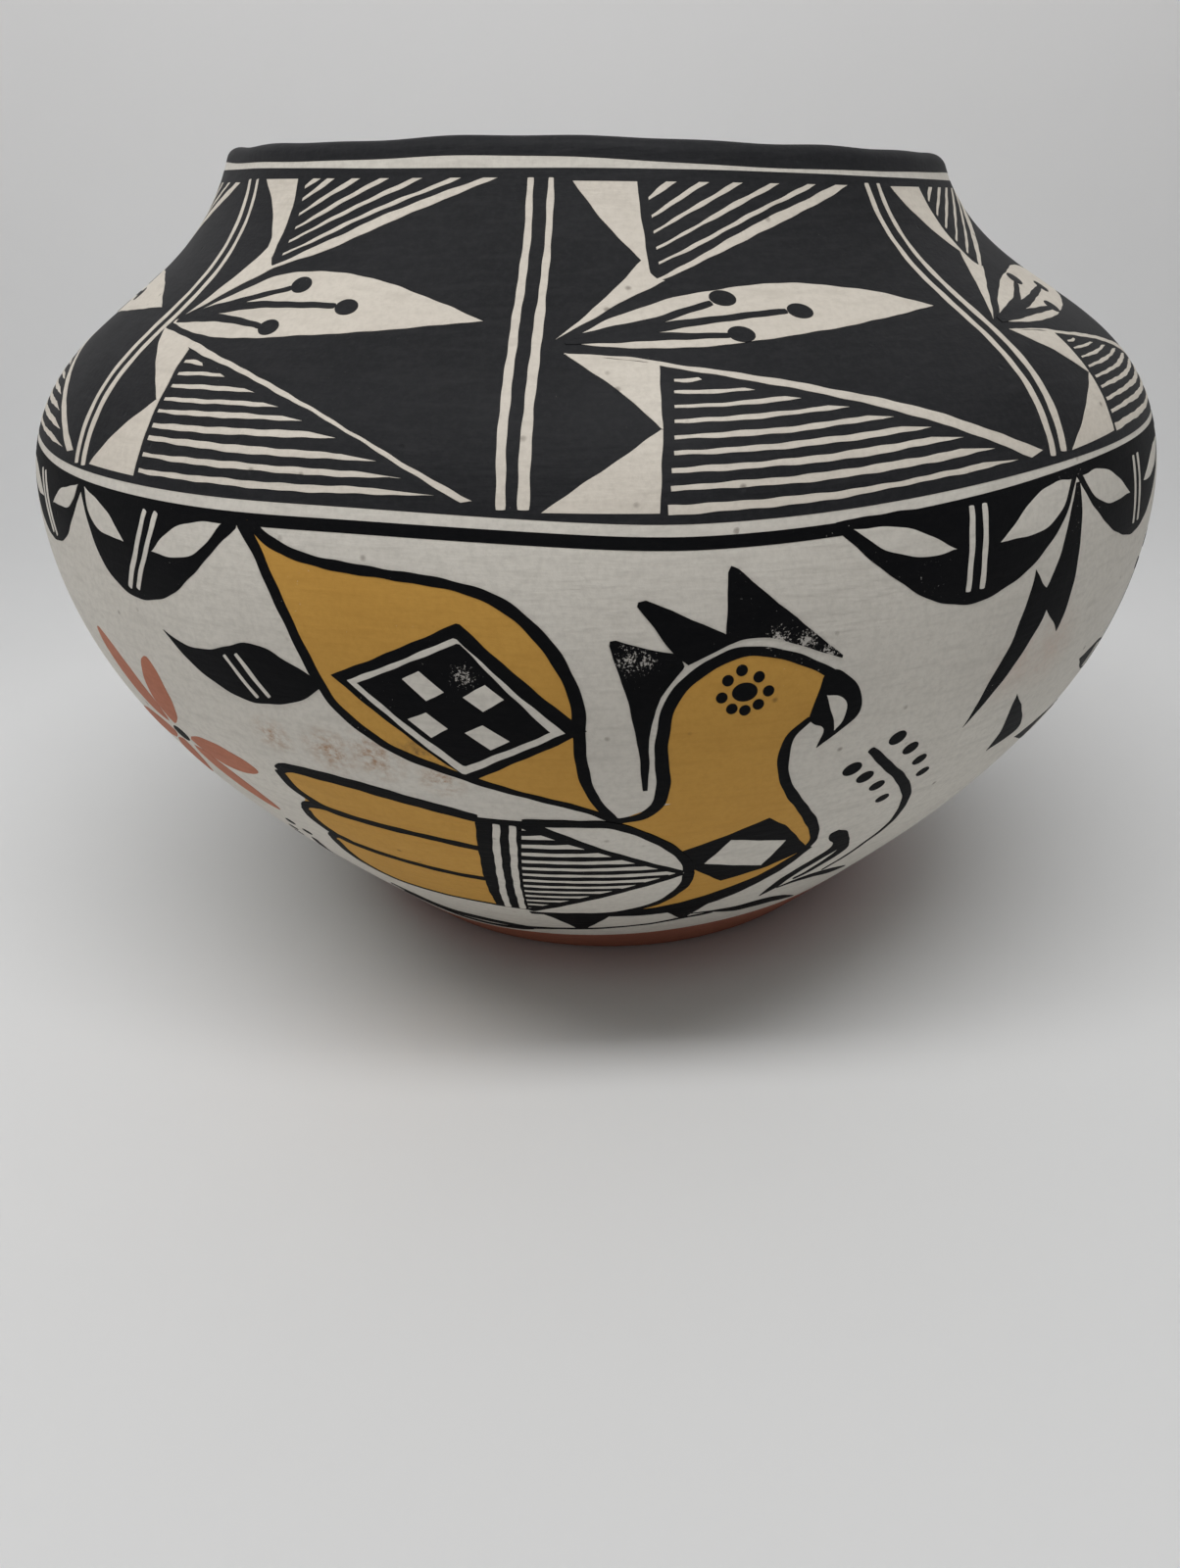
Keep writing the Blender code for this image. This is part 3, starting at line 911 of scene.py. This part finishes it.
FEATHERS = [[(-30.9, 87.0), (-30.6, 82.5), (-29.4, 79.0), (-27.8, 76.8), (-23.7, 75.1), (-18.0, 73.2),
             (-12.8, 71.0)],
            [(-31.5, 74.6), (-31.9, 71.0), (-31.2, 66.4), (-29.7, 62.8), (-24.3, 59.6), (-17.8, 57.0),
             (-14.1, 56.1)],
            [(-32.2, 61.8), (-33.2, 54.5), (-33.2, 47.0), (-30.6, 41.0), (-24.2, 38.9), (-17.9, 38.2),
             (-16.0, 37.6)]]
WING_TOP = [(-30.9, 87.0), (-29.8, 88.3), (-28.2, 88.6), (-22.5, 87.5), (-16.2, 84.6), (-11.9, 82.0)]
LENS_TOP = [(-8.0, 81.6), (-3.7, 81.6), (0.2, 80.8), (4.2, 74.4), (6.8, 66.6), (7.7, 60.4)]
LENS_FOOT = [(-12.1, 34.4), (-6.0, 35.0), (-0.4, 36.1), (4.8, 42.0), (7.4, 51.5), (7.7, 60.4)]
EYE_DOTS = [(9.5, 114.0), (10.8, 112.6), (11.6, 109.9), (10.9, 107.6), (9.9, 106.7), (8.9, 107.2),
            (8.1, 109.4), (8.5, 112.4)]
DIAMOND_SQUARES = [
    [(-15.1, 113.0), (-13.7, 114.6), (-12.0, 111.0), (-13.5, 109.2)],
    [(-10.7, 110.3), (-8.9, 112.7), (-7.6, 110.1), (-9.3, 107.7)],
    [(-15.3, 105.5), (-13.7, 107.1), (-12.2, 104.1), (-13.7, 102.0)],
    [(-11.0, 103.5), (-9.5, 105.2), (-7.6, 102.1), (-9.2, 100.1)]]


def bird_ochre(name, place, seed):
    """Tail lobe, wing feathers, body and head in ochre."""
    ochre = Paint(f"{name}_ochre", OCHRE, "ochre_paint", 1, place, seed)
    ochre.fill(TAIL_TOP, TAIL_FOOT)
    ochre.fill(WING_TOP, FEATHERS[0])
    ochre.fill([(-30.0, 79.5), *FEATHERS[0][3:]], FEATHERS[1])
    ochre.fill([(-30.4, 64.4), *FEATHERS[1][4:]], FEATHERS[2])
    ochre.fill(NECK_BACK[2:], [(16.9, 80.5), *THROAT[5::-1], (15.5, 107.6), (16.4, 111.0)])
    ochre.area([(0.0, 82.0), (3.5, 86.0), (9.0, 88.0), (16.9, 81.0), (20.3, 69.0)],
               [(-2.0, 36.0), *BELLY_EDGE[1:4], BELLY_EDGE[5], (20.5, 63.5)])
    ochre.finish()


def bird_lines(name, place, seed):
    """The bird's black outlines, crest, beak, eye, wing bars and the tail's diamond."""
    black = Paint(f"{name}_black", BLACK, "black_paint", 2, place, seed)
    black.stroke(TAIL_TOP, [1.9, 1.7, 1.6, 1.7, 2.2, 2.3, 2.0, 1.8], cap=0.3)
    black.stroke(TAIL_FOOT, [2.2, 2.1, 2.0, 1.9, 1.8, 1.7, 1.5, 1.5], cap=0.3)
    black.area([(-20.9, 112.4), (-10.4, 122.8), (-1.8, 104.1)],
               [(-20.9, 112.4), (-11.3, 92.6), (-1.8, 104.1)])
    black.stroke(WING_TOP, [2.4, 2.8, 2.8, 2.6], cap=0.3)
    for feather, widths in zip(FEATHERS, ([2.4, 2.2, 1.9, 2.2], [2.4, 2.4, 2.0, 2.2], [2.2, 2.0, 1.3, 1.2])):
        black.stroke(feather, widths, cap=0.3)
    black.stroke([(-31.6, 74.4), (-31.0, 76.0), (-29.4, 77.2), (-27.6, 76.9)], [1.6, 2.4, 1.8], cap=0.3)
    black.stroke([(-32.4, 61.6), (-31.8, 63.6), (-30.6, 64.4), (-29.2, 62.8)], [1.6, 2.4, 1.8], cap=0.3)
    black.area([(-12.1, 82.4), (-16.4, 37.2)], [(-7.7, 82.0), (-11.2, 36.2)])
    black.stroke(NECK_BACK, [1.6, 2.2, 2.5, 2.3, 2.1, 1.9, 1.8, 1.7, 1.7], cap=0.3)
    black.stroke(THROAT, [1.2, 2.0, 2.1, 2.1, 2.2, 2.1, 1.6], cap=0.3)
    black.fill([(-4.0, 36.8), (2.7, 37.6), (8.0, 41.0), (12.5, 46.4), (16.5, 52.5), (20.2, 62.6)],
               [(-4.0, 33.0), (4.3, 32.6), (10.0, 35.2), (14.5, 40.6), (19.0, 51.8), (21.2, 62.6)])
    black.area([(5.8, 69.5), (14.0, 78.8), (16.0, 75.2), (20.3, 63.6)],
               [(6.6, 64.5), (11.9, 53.0), (16.7, 57.0), (20.3, 62.0)])
    black.fill([(0.1, 119.2), (1.1, 111.3), (2.0, 100.3), (2.35, 90.4)],
               [(0.1, 119.2), (0.15, 119.9), (0.6, 120.1), (2.5, 118.6), (5.0, 117.2), (5.4, 115.2),
                (4.0, 111.7), (3.3, 108.1), (2.8, 102.3), (2.8, 98.0), (2.75, 90.4)], polyline, polyline)
    black.area([(2.1, 125.2), (4.7, 117.2), (5.6, 115.5)],
               [(2.2, 125.9), (2.8, 126.2), (8.4, 120.1), (8.5, 118.4)])
    black.fill([(8.2, 118.2), (9.6, 119.0), (11.1, 119.0), (12.9, 118.0), (14.9, 116.2), (17.2, 114.1)],
               [(8.3, 120.1), (8.5, 129.6), (8.75, 130.5), (9.25, 129.9), (17.3, 114.5)], spline, polyline)
    black.fill([(16.0, 112.0), (17.2, 112.0), (18.7, 109.1), (19.5, 105.6), (19.3, 102.3), (17.8, 99.6),
                (16.3, 96.8)],
               [(15.8, 110.9), (15.5, 107.6), (15.1, 103.8), (15.6, 102.2), (16.3, 101.4), (16.6, 100.0),
                (16.3, 96.8)])
    black.dot((0.1, 82.0), 1.3, 1.2)
    black.dot((9.8, 110.1), 2.1, 1.75)
    for spot in EYE_DOTS:
        black.dot(spot, 0.95, 1.05)
    black.finish()


def bird_white(name, place, seed):
    """Slip left bare on the bird: diamond band, wing stripes, lens, lozenge and the beak's crescent."""
    white = Paint(f"{name}_white", WHITE, "white_slip", 3, place, seed)
    white.area([(-19.6, 111.8), (-10.7, 120.4), (-3.4, 103.8)],
               [(-19.6, 111.8), (-11.8, 94.1), (-3.4, 103.8)])
    white.stroke([(-10.35, 80.8), (-12.3, 60.0), (-14.65, 37.5)], 1.45, cap=0.25)
    white.stroke([(-8.9, 80.6), (-10.6, 60.0), (-12.65, 37.2)], 1.45, cap=0.25)
    white.fill(LENS_TOP, LENS_FOOT)
    white.area([(9.0, 63.8), (10.9, 72.8), (17.0, 68.9)], [(9.0, 63.8), (15.9, 58.5), (17.0, 68.9)])
    white.fill([(16.3, 107.7), (17.4, 107.2), (18.2, 105.3), (18.1, 102.3), (17.5, 100.2)],
               [(16.3, 107.7), (16.7, 105.3), (17.2, 102.7), (17.5, 100.2)])
    white.finish()


def bird_details(name, place, seed):
    """The diamond's dark middle and the fine hatching on the wing."""
    black = Paint(f"{name}_hatching", BLACK, "black_paint", 4, place, seed)
    black.area([(-18.8, 111.5), (-10.5, 119.7), (-4.5, 104.0)],
               [(-18.8, 111.5), (-11.6, 96.0), (-4.5, 104.0)])
    black.stroke(LENS_TOP, [2.2, 2.0, 2.0, 2.2], cap=0.3)
    black.stroke(LENS_FOOT, [2.0, 2.0, 2.0, 2.4], cap=0.3)
    black.stroke([(-8.0, 81.6), (7.0, 60.6)], [3.2, 1.8, 1.6], polyline, cap=0.2)
    black.stroke([(-11.9, 36.6), (7.0, 60.4)], [2.4, 2.2, 2.0], polyline, cap=0.2)
    for step in range(13):
        share = (step + 0.7) / 13.6
        up = 80.6 - 43.6 * share
        left = -8.3 - 3.8 * share
        right = np.interp(up, [36.4, 60.5, 81.2], [-11.7, 6.8, -7.6]) - 0.2
        black.stroke([(left, up), (right, up + 0.4)], [1.9, 1.8, 1.5], polyline, cap=0.2)
    black.finish()
    white = Paint(f"{name}_squares", WHITE, "white_slip", 5, place, seed)
    for left, top, right, foot in DIAMOND_SQUARES:
        white.area([left, top], [foot, right])
    white.finish()


WIDE_LOBE = {
    "edge": [(0.0, 135.8), (2.6, 128.9), (6.3, 123.2), (10.0, 120.2), (13.3, 119.5), (16.9, 121.7),
             (20.5, 126.8), (24.5, 134.4)],
    "width": 24.5,
    "leaves": [([(0.9, 135.7), (3.4, 136.0), (6.2, 134.3), (10.1, 128.6)],
                [(0.9, 135.7), (2.6, 131.2), (5.6, 128.6), (10.1, 128.6)]),
               ([(23.2, 134.3), (20.0, 134.0), (17.1, 132.0), (14.5, 129.0)],
                [(23.2, 134.3), (20.6, 130.4), (17.4, 128.6), (14.5, 129.0)])],
    "stripes": [[(11.6, 135.3), (11.8, 121.6)], [(12.9, 135.3), (13.2, 121.6)]],
}
NARROW_LOBE = {
    "edge": [(0.0, 135.0), (2.3, 127.1), (4.1, 122.6), (6.9, 119.8), (9.8, 119.6), (13.1, 122.0),
             (15.7, 126.0), (18.1, 130.5), (20.4, 134.6)],
    "width": 20.6,
    "leaves": [([(0.7, 136.2), (3.0, 134.8), (5.3, 132.8), (7.4, 129.0)],
                [(0.7, 136.2), (1.7, 132.1), (3.5, 129.6), (7.4, 129.0)]),
               ([(11.2, 128.6), (12.7, 131.5), (14.7, 133.8), (17.1, 135.0), (19.0, 135.1)],
                [(11.2, 128.6), (13.2, 128.2), (15.4, 129.0), (17.3, 131.3), (19.0, 135.1)])],
    "stripes": [[(10.5, 135.2), (9.3, 129.0), (7.3, 121.0)], [(11.9, 135.2), (10.7, 129.5), (8.5, 121.2)]],
}
LOBE_TOP = 136.0
PENDANTS_AT = [41.1, 131.8, 221.1, 311.8]


def pendant(black, white, lobe, side, depth):
    """One black lobe hanging from the belly line, with two bare leaves and two bare stripes.

    It is drawn for the right-hand lobe of a pair that meets at 0; side is -1 for the left-hand lobe.
    depth stretches it downwards from LOBE_TOP.
    """
    def flip(points):
        """Points mirrored by side and stretched by depth."""
        return [(side * a, LOBE_TOP - depth * (LOBE_TOP - up)) for a, up in points]

    rise = 0.4 if side > 0 else 0.0
    width = lobe["width"]
    top = [(0.0, 136.2 + rise), (0.5 * width, 136.2 + rise), (0.9 * width, 136.0 + rise),
           (width, 135.6 + rise)]
    black.fill(flip(lobe["edge"]), flip(top))
    for first, second in lobe["leaves"]:
        white.fill(flip(first), flip(second))
    for stripe in lobe["stripes"]:
        white.stroke(flip(stripe), 1.2, cap=0.2)


def pendant_pair(name, place, seed, lobe, zigzag):
    """Two lobes that meet under the belly line, with or without a zigzag leaf hanging where they meet."""
    black = Paint(f"{name}_black", BLACK, "black_paint", 1, place, seed)
    white = Paint(f"{name}_white", WHITE, "white_slip", 2, place, seed)
    left_depth, right_depth = (1.0, 0.92) if zigzag else (0.78, 1.0)
    pendant(black, white, lobe, -1, left_depth)
    pendant(black, white, lobe, 1, right_depth)
    if zigzag:
        black.fill([(-0.2, 134.9), (-1.4, 130.1), (-2.4, 124.5), (-3.6, 119.4), (-4.2, 117.2), (-3.1, 113.6),
                    (-1.7, 110.9), (-0.7, 108.6)],
                   [(0.4, 134.9), (0.4, 128.6), (0.3, 123.0), (0.2, 117.2), (-0.1, 112.7), (-0.4, 110.3),
                    (-0.7, 108.6)])
        black.fill([(-5.7, 122.4), (-6.0, 119.3), (-6.5, 115.1), (-7.1, 109.3), (-8.2, 103.2), (-9.3, 92.7)],
                   [(-5.7, 122.4), (-4.6, 119.6), (-3.2, 117.0), (-3.4, 113.4), (-4.6, 108.3), (-5.8, 104.0),
                    (-7.9, 97.2), (-9.3, 92.7)])
    black.finish()
    white.finish()


def bird_plants(name, place, seed):
    """Leaf at the tail, the dotted stem and bud before the breast, and the line under the feet."""
    black = Paint(f"{name}_black", BLACK, "black_paint", 2, place, seed)
    black.fill([(-37.6, 114.7), (-36.0, 113.4), (-34.2, 112.8), (-32.3, 113.3), (-30.3, 114.6),
                (-28.3, 115.8), (-26.4, 115.6), (-24.8, 114.0), (-22.6, 111.5), (-22.0, 109.8)],
               [(-37.6, 114.7), (-36.7, 112.5), (-35.0, 109.2), (-33.2, 106.7), (-31.3, 104.9),
                (-29.3, 104.1), (-27.2, 104.5), (-25.4, 105.5), (-23.5, 107.4), (-22.0, 109.8)])
    black.stroke(
        [(21.6, 93.9), (24.1, 88.6), (27.0, 82.5), (29.4, 76.0), (30.9, 67.5), (31.0, 61.0), (30.2, 55.5),
         (29.3, 50.0), (27.6, 44.0)], [1.5, 1.9, 2.2, 2.3, 1.7, 1.2, 1.0, 0.9, 0.6])
    for step, spot in enumerate(((20.5, 89.5), (22.3, 86.3), (24.3, 82.5), (26.1, 77.2))):
        black.dot(spot, 1.9 - 0.15 * step, 1.6 - 0.15 * step, lean=25)
    for step, spot in enumerate(((24.1, 95.2), (26.1, 91.5), (28.0, 87.3), (29.5, 82.8))):
        black.dot(spot, 1.8 - 0.12 * step, 1.5 - 0.15 * step, lean=25)
    black.fill([(23.2, 68.0), (22.5, 66.8), (22.9, 64.0), (24.1, 61.5), (24.2, 58.3), (22.8, 53.9),
                (21.4, 49.0), (20.5, 44.0), (20.2, 36.0)],
               [(23.2, 68.0), (24.6, 66.4), (25.7, 63.0), (26.5, 59.5), (25.6, 56.5), (23.5, 50.5),
                (22.4, 45.5), (21.7, 40.0), (20.2, 35.6)])
    black.stroke(
        [(26.0, 60.0), (26.7, 55.5), (25.6, 50.2), (24.4, 46.0), (23.2, 43.8)], [2.4, 2.8, 2.2, 1.8, 1.2])
    black.fill([(34.0, 38.6), (31.0, 41.4), (27.4, 43.2), (24.4, 42.8), (21.9, 39.9)],
               [(34.0, 38.0), (31.0, 38.2), (27.4, 40.2), (24.4, 40.6), (21.9, 39.3)])
    black.fill([(10.9, 30.2), (14.5, 30.0), (18.5, 30.2), (21.8, 31.4), (25.5, 29.6), (31.0, 22.4)],
               [(10.9, 29.8), (14.5, 28.6), (18.5, 25.6), (21.8, 25.4), (25.5, 25.2), (31.0, 22.0)])
    black.stroke(
        [(-36.5, 31.0), (-34.5, 24.5), (-32.0, 19.8), (-28.5, 17.8), (-24.4, 18.0), (-19.6, 17.5),
         (-15.5, 16.6)], [1.0, 3.2, 4.2, 4.4, 4.0, 3.4, 2.6])
    black.stroke(
        [(-37.5, 24.0), (-34.5, 17.5), (-30.6, 13.6), (-26.2, 13.0), (-22.0, 13.2), (-18.0, 14.4),
         (-15.0, 16.4)], [0.8, 2.0, 2.4, 2.4, 2.4, 2.6, 2.4])
    black.stroke(
        [(-16.0, 16.4), (-10.2, 19.0), (-4.0, 20.8), (4.7, 23.8), (9.8, 26.6), (14.5, 28.6)],
        [2.6, 1.3, 1.1, 0.9, 1.1, 1.4])
    black.fill([(-11.7, 36.4), (-9.5, 31.0), (-7.4, 24.0), (-6.6, 20.4)],
               [(0.0, 35.8), (-2.9, 27.0), (-4.4, 22.6), (-5.2, 20.4)])
    black.area([(5.6, 37.0), (9.7, 26.6)], [(13.0, 40.0), (10.2, 26.6)])
    black.finish()
    white = Paint(f"{name}_white", WHITE, "white_slip", 3, place, seed)
    white.stroke([(-30.8, 112.9), (-28.6, 105.4)], 0.95, cap=0.2)
    white.stroke([(-29.5, 113.6), (-27.3, 106.0)], 0.95, cap=0.2)
    white.finish()


def flower(name, place, seed):
    """Three pairs of red petals round a small dark eye."""
    red = Paint(f"{name}_petals", PETAL, "red_slip", 1, place, seed)
    centre = np.array([-45.0, 87.0])
    metric = math.radians(float(radius_at(centre[1])))
    for angle, long in ((121, 25), (74, 21), (-7, 22), (-52, 24), (-127, 22), (-172, 22)):
        along = np.array([math.cos(math.radians(angle)), math.sin(math.radians(angle))])
        across = np.array([-along[1], along[0]])
        out = np.array([3.2, 4.6, 8.0, 0.6 * long, 0.85 * long, 0.97 * long, long])
        half = np.array([0.0, 1.5, 3.2, 3.7, 2.6, 1.1, 0.0])
        middle = centre + np.outer(out, along) / [metric, 1.0]
        bulge = np.outer(half, across) / [metric, 1.0]
        red.fill(middle + bulge, middle - bulge)
    red.finish()
    black = Paint(f"{name}_eye", BLACK, "black_paint", 1, place, seed)
    black.dot(tuple(centre), 2.3, 2.0)
    black.finish()


def leaf(black, white, base, tip, half):
    """A black leaf between two points, crossed by two bare stripes.

    Each edge is the straight line from base to tip, pushed out by half millimetres times a sine bulge.
    """
    base, tip = np.array(base), np.array(tip)
    metric = np.array([math.radians(float(radius_at((base[1] + tip[1]) / 2))), 1.0])
    along = (tip - base) * metric
    across = np.array([-along[1], along[0]]) / np.linalg.norm(along) / metric
    share = np.array([0.0, 0.15, 0.35, 0.55, 0.75, 0.9, 1.0])
    bulge = half * np.sin(math.pi * share**0.8)
    middle = base + share[:, None] * (tip - base)
    black.fill(middle + bulge[:, None] * across, middle - bulge[:, None] * across)
    for place in (0.42, 0.54):
        spot = base + place * (tip - base)
        reach = 0.78 * half * math.sin(math.pi * place**0.8) * across + 0.05 * (tip - base)
        white.stroke([spot - reach, spot + reach], 0.95, cap=0.2)


STEMS = [[(68.0, 36.0), (65.5, 52.0), (61.0, 70.0), (59.0, 86.0), (60.0, 99.0), (64.0, 110.0)],
         [(99.0, 34.0), (97.0, 52.0), (98.5, 70.0), (102.0, 86.0), (104.0, 101.0), (102.5, 114.0)]]
SIDE_LEAVES = [
    ((60.0, 75.5), (45.0, 79.5), 4.6), ((59.2, 92.0), (49.4, 96.8), 3.6), ((60.0, 79.0), (73.0, 88.0), 4.6),
    ((60.0, 96.5), (72.5, 105.0), 4.0), ((64.0, 58.0), (50.5, 59.0), 4.6), ((65.0, 55.0), (78.5, 64.0), 4.6),
    ((97.6, 62.0), (84.0, 70.0), 4.6), ((100.0, 77.5), (87.0, 88.5), 4.6),
    ((103.0, 93.5), (91.0, 106.5), 4.2), ((97.4, 56.0), (111.0, 60.0), 4.6),
    ((99.6, 74.0), (113.5, 77.0), 4.4)]


def side_plant(name, place, seed):
    """Two leafy stems on the side of the jar, between two birds, with dots over their tips."""
    black = Paint(f"{name}_black", BLACK, "black_paint", 1, place, seed)
    white = Paint(f"{name}_white", WHITE, "white_slip", 2, place, seed)
    black.fill([(38.1, 96.5), (38.4, 92.1), (39.3, 85.7), (39.2, 80.7)],
               [(38.1, 96.5), (40.5, 91.5), (43.4, 83.8), (39.2, 80.7)])
    for stem in STEMS:
        black.stroke(stem, [2.2, 2.0, 1.8, 1.7, 1.6, 1.5])
        end = stem[-1]
        for off, rise in ((-3.6, 1.0), (-1.3, 4.4), (1.4, 4.2), (3.6, 0.8)):
            black.dot((end[0] + off, end[1] + rise), 1.2, 1.4)
    for base, tip, half in SIDE_LEAVES:
        leaf(black, white, base, tip, half)
    black.stroke([(-39.8, 53.0), (-42.0, 46.5), (-44.5, 39.5)], [1.6, 2.2, 1.2])
    for spot in ((-39.7, 61.0), (-38.5, 57.6), (-42.6, 55.0), (-44.6, 50.0)):
        black.dot(spot, 1.5, 1.2, lean=60)
    black.finish()
    white.finish()


# Studio: sizes and places in metres, the lamp's energy in watts and its turn in degrees, light and colours
PAPER_FRONT = -1.6
PAPER_LEVEL_END = 0.28
PAPER_BEND_FROM = 0.30
PAPER_BEND = 0.2
PAPER_HALF_WIDTH = 2.0
PAPER_RISE = [0.8, 1.6]
PAPER_TONES = [(0.79, 0.795, 0.795), (0.82, 0.825, 0.825)]
LOW_COLOUR = (1.0, 0.95, 0.935)
LOW_LIGHT = 1.44
LOW_SIDE = 0.9
LOW_FALL = 12.0
HIGH_COLOUR = (0.98, 0.99, 1.0)
HIGH_LIGHT = 0.42
BACKGROUND_GREY = (0.49, 0.495, 0.49)
LAMP_SIZE = (0.90, 0.14)
LAMP_ENERGY = 4.0
LAMP_AT = (-0.07, -0.29, 0.78)
LAMP_TURN = (30, -5, 0)

# Camera: frame height and lens in pixels, place in metres, tip in degrees, roll in radians
PIXELS_HIGH = 1600
FOCAL_PIXELS = 1207
CAMERA_AT = (-0.00277, -0.2938, 0.1618)
CAMERA_TIP = 26.85
CAMERA_ROLL = -0.0247


def make_paper():
    """A pale sheet: level under the jar, then through a quarter circle, then straight up behind it."""
    turn = np.linspace(0.0, math.pi / 2, 24)
    level = np.linspace(PAPER_FRONT, PAPER_LEVEL_END, 16)[:-1]
    upright = [PAPER_BEND_FROM + PAPER_BEND] * len(PAPER_RISE)
    depth = np.concatenate([level, PAPER_BEND_FROM + PAPER_BEND * np.sin(turn), upright])
    rise = np.concatenate([np.zeros_like(level), PAPER_BEND * (1 - np.cos(turn)), PAPER_RISE])
    across = np.linspace(-PAPER_HALF_WIDTH, PAPER_HALF_WIDTH, 13)
    points = np.stack(np.broadcast_arrays(across[:, None], depth[None, :], rise[None, :]), axis=-1)
    quads = grid_quads(np.arange(points.size // 3).reshape(points.shape[:2]))
    paper = bpy.data.materials.new("paper")
    paper.use_nodes = True
    tree = paper.node_tree
    shader = tree.nodes["Principled BSDF"]
    place = tree.nodes.new("ShaderNodeTexCoord").outputs["Object"]
    tone = mix(tree, noise(tree, place, 6.0, 4.0), *PAPER_TONES)
    tree.links.new(tone, shader.inputs["Base Color"])
    shader.inputs["Roughness"].default_value = 0.9
    sweep = mesh_object("paper_sweep", points, quads[:, ::-1], [paper])


def make_world():
    """Soft fill: a low glow all round that is stronger from the left, and a weaker one from above.

    With z the height of a direction, the low glow falls off as (1 - z) to the power LOW_FALL, and the high
    one grows as z squared. What looks at the world straight or in a reflection sees one plain grey.
    """
    world = bpy.data.worlds.new("studio")
    world.use_nodes = True
    tree = world.node_tree
    split = tree.nodes.new("ShaderNodeSeparateXYZ")
    tree.links.new(tree.nodes.new("ShaderNodeTexCoord").outputs["Generated"], split.inputs["Vector"])
    height = ramp(tree, split.outputs["Z"], 0.0, 1.0)
    low = math_node(tree, "POWER", math_node(tree, "SUBTRACT", 1.0, height), LOW_FALL)
    high = math_node(tree, "POWER", height, 2.0)
    side = math_node(tree, "SUBTRACT", LOW_LIGHT, math_node(tree, "MULTIPLY", split.outputs["X"], LOW_SIDE))
    from_sides = glow(tree, LOW_COLOUR, math_node(tree, "MULTIPLY", low, side))
    from_above = glow(tree, HIGH_COLOUR, math_node(tree, "MULTIPLY", high, HIGH_LIGHT))
    light = tree.nodes.new("ShaderNodeAddShader")
    tree.links.new(from_sides, light.inputs[0])
    tree.links.new(from_above, light.inputs[1])
    ray = tree.nodes.new("ShaderNodeLightPath").outputs
    seen = math_node(tree, "MAXIMUM", ray["Is Camera Ray"], ray["Is Glossy Ray"])
    seen = math_node(tree, "MAXIMUM", seen, ray["Is Transmission Ray"])
    shown = tree.nodes.new("ShaderNodeMixShader")
    tree.links.new(seen, shown.inputs["Fac"])
    tree.links.new(light.outputs["Shader"], shown.inputs[1])
    tree.links.new(glow(tree, BACKGROUND_GREY, 1.0), shown.inputs[2])
    tree.links.new(shown.outputs["Shader"], tree.nodes["World Output"].inputs["Surface"])
    bpy.context.scene.world = world
    bpy.context.scene.view_settings.view_transform = "Standard"


def glow(tree, colour, strength):
    """A world light of one colour. strength is a number, or a socket where it changes with direction."""
    node = tree.nodes.new("ShaderNodeBackground")
    node.inputs["Color"].default_value = (*colour, 1.0)
    if isinstance(strength, float):
        node.inputs["Strength"].default_value = strength
    else:
        tree.links.new(strength, node.inputs["Strength"])
    return node.outputs["Background"]


def softbox(name, size, energy, location, turn):
    """An area lamp: size in metres, energy in watts, turn in degrees about X, Y and Z."""
    lamp = bpy.data.lights.new(name, "AREA")
    lamp.shape = "RECTANGLE"
    lamp.size, lamp.size_y = size
    lamp.energy = energy
    holder = bpy.data.objects.new(name, lamp)
    holder.location = location
    holder.rotation_euler = [math.radians(angle) for angle in turn]
    bpy.context.scene.collection.objects.link(holder)


def make_camera():
    """A phone's wide lens close to the jar, just under the rim's height, tipped down and rolled a little."""
    camera = bpy.data.cameras.new("camera")
    camera.sensor_width = 36.0
    camera.lens = camera.sensor_width * FOCAL_PIXELS / PIXELS_HIGH
    camera.clip_start = 0.01
    holder = bpy.data.objects.new("camera", camera)
    holder.location = CAMERA_AT
    turn = Matrix.Rotation(math.radians(90 - CAMERA_TIP), 3, "X") @ Matrix.Rotation(CAMERA_ROLL, 3, "Z")
    holder.rotation_euler = turn.to_euler("XYZ")
    bpy.context.scene.collection.objects.link(holder)
    bpy.context.scene.camera = holder


make_skin()
make_rings()
for panel in range(len(DIVIDER_TOP)):
    panel_white(panel)
    panel_stamens(panel)
for number, turn in enumerate((0.0, 180.0), start=1):
    spot = turned(turn)
    bird_ochre(f"bird_{number}", spot, 300 + number)
    bird_lines(f"bird_{number}", spot, 310 + number)
    bird_white(f"bird_{number}", spot, 320 + number)
    bird_details(f"bird_{number}", spot, 330 + number)
    bird_plants(f"plants_{number}", spot, 340 + number)
    flower(f"flower_{number}", spot, 350 + number)
    side_plant(f"side_plant_{number}", spot, 360 + number)
for number, angle in enumerate(PENDANTS_AT):
    before_bird = number % 2 == 0
    lobe = WIDE_LOBE if before_bird else NARROW_LOBE
    pendant_pair(f"pendants_{number + 1}", turned(angle), 400 + number, lobe, before_bird)
make_paper()
softbox("overhead_softbox", LAMP_SIZE, LAMP_ENERGY, LAMP_AT, LAMP_TURN)
make_world()
make_camera()
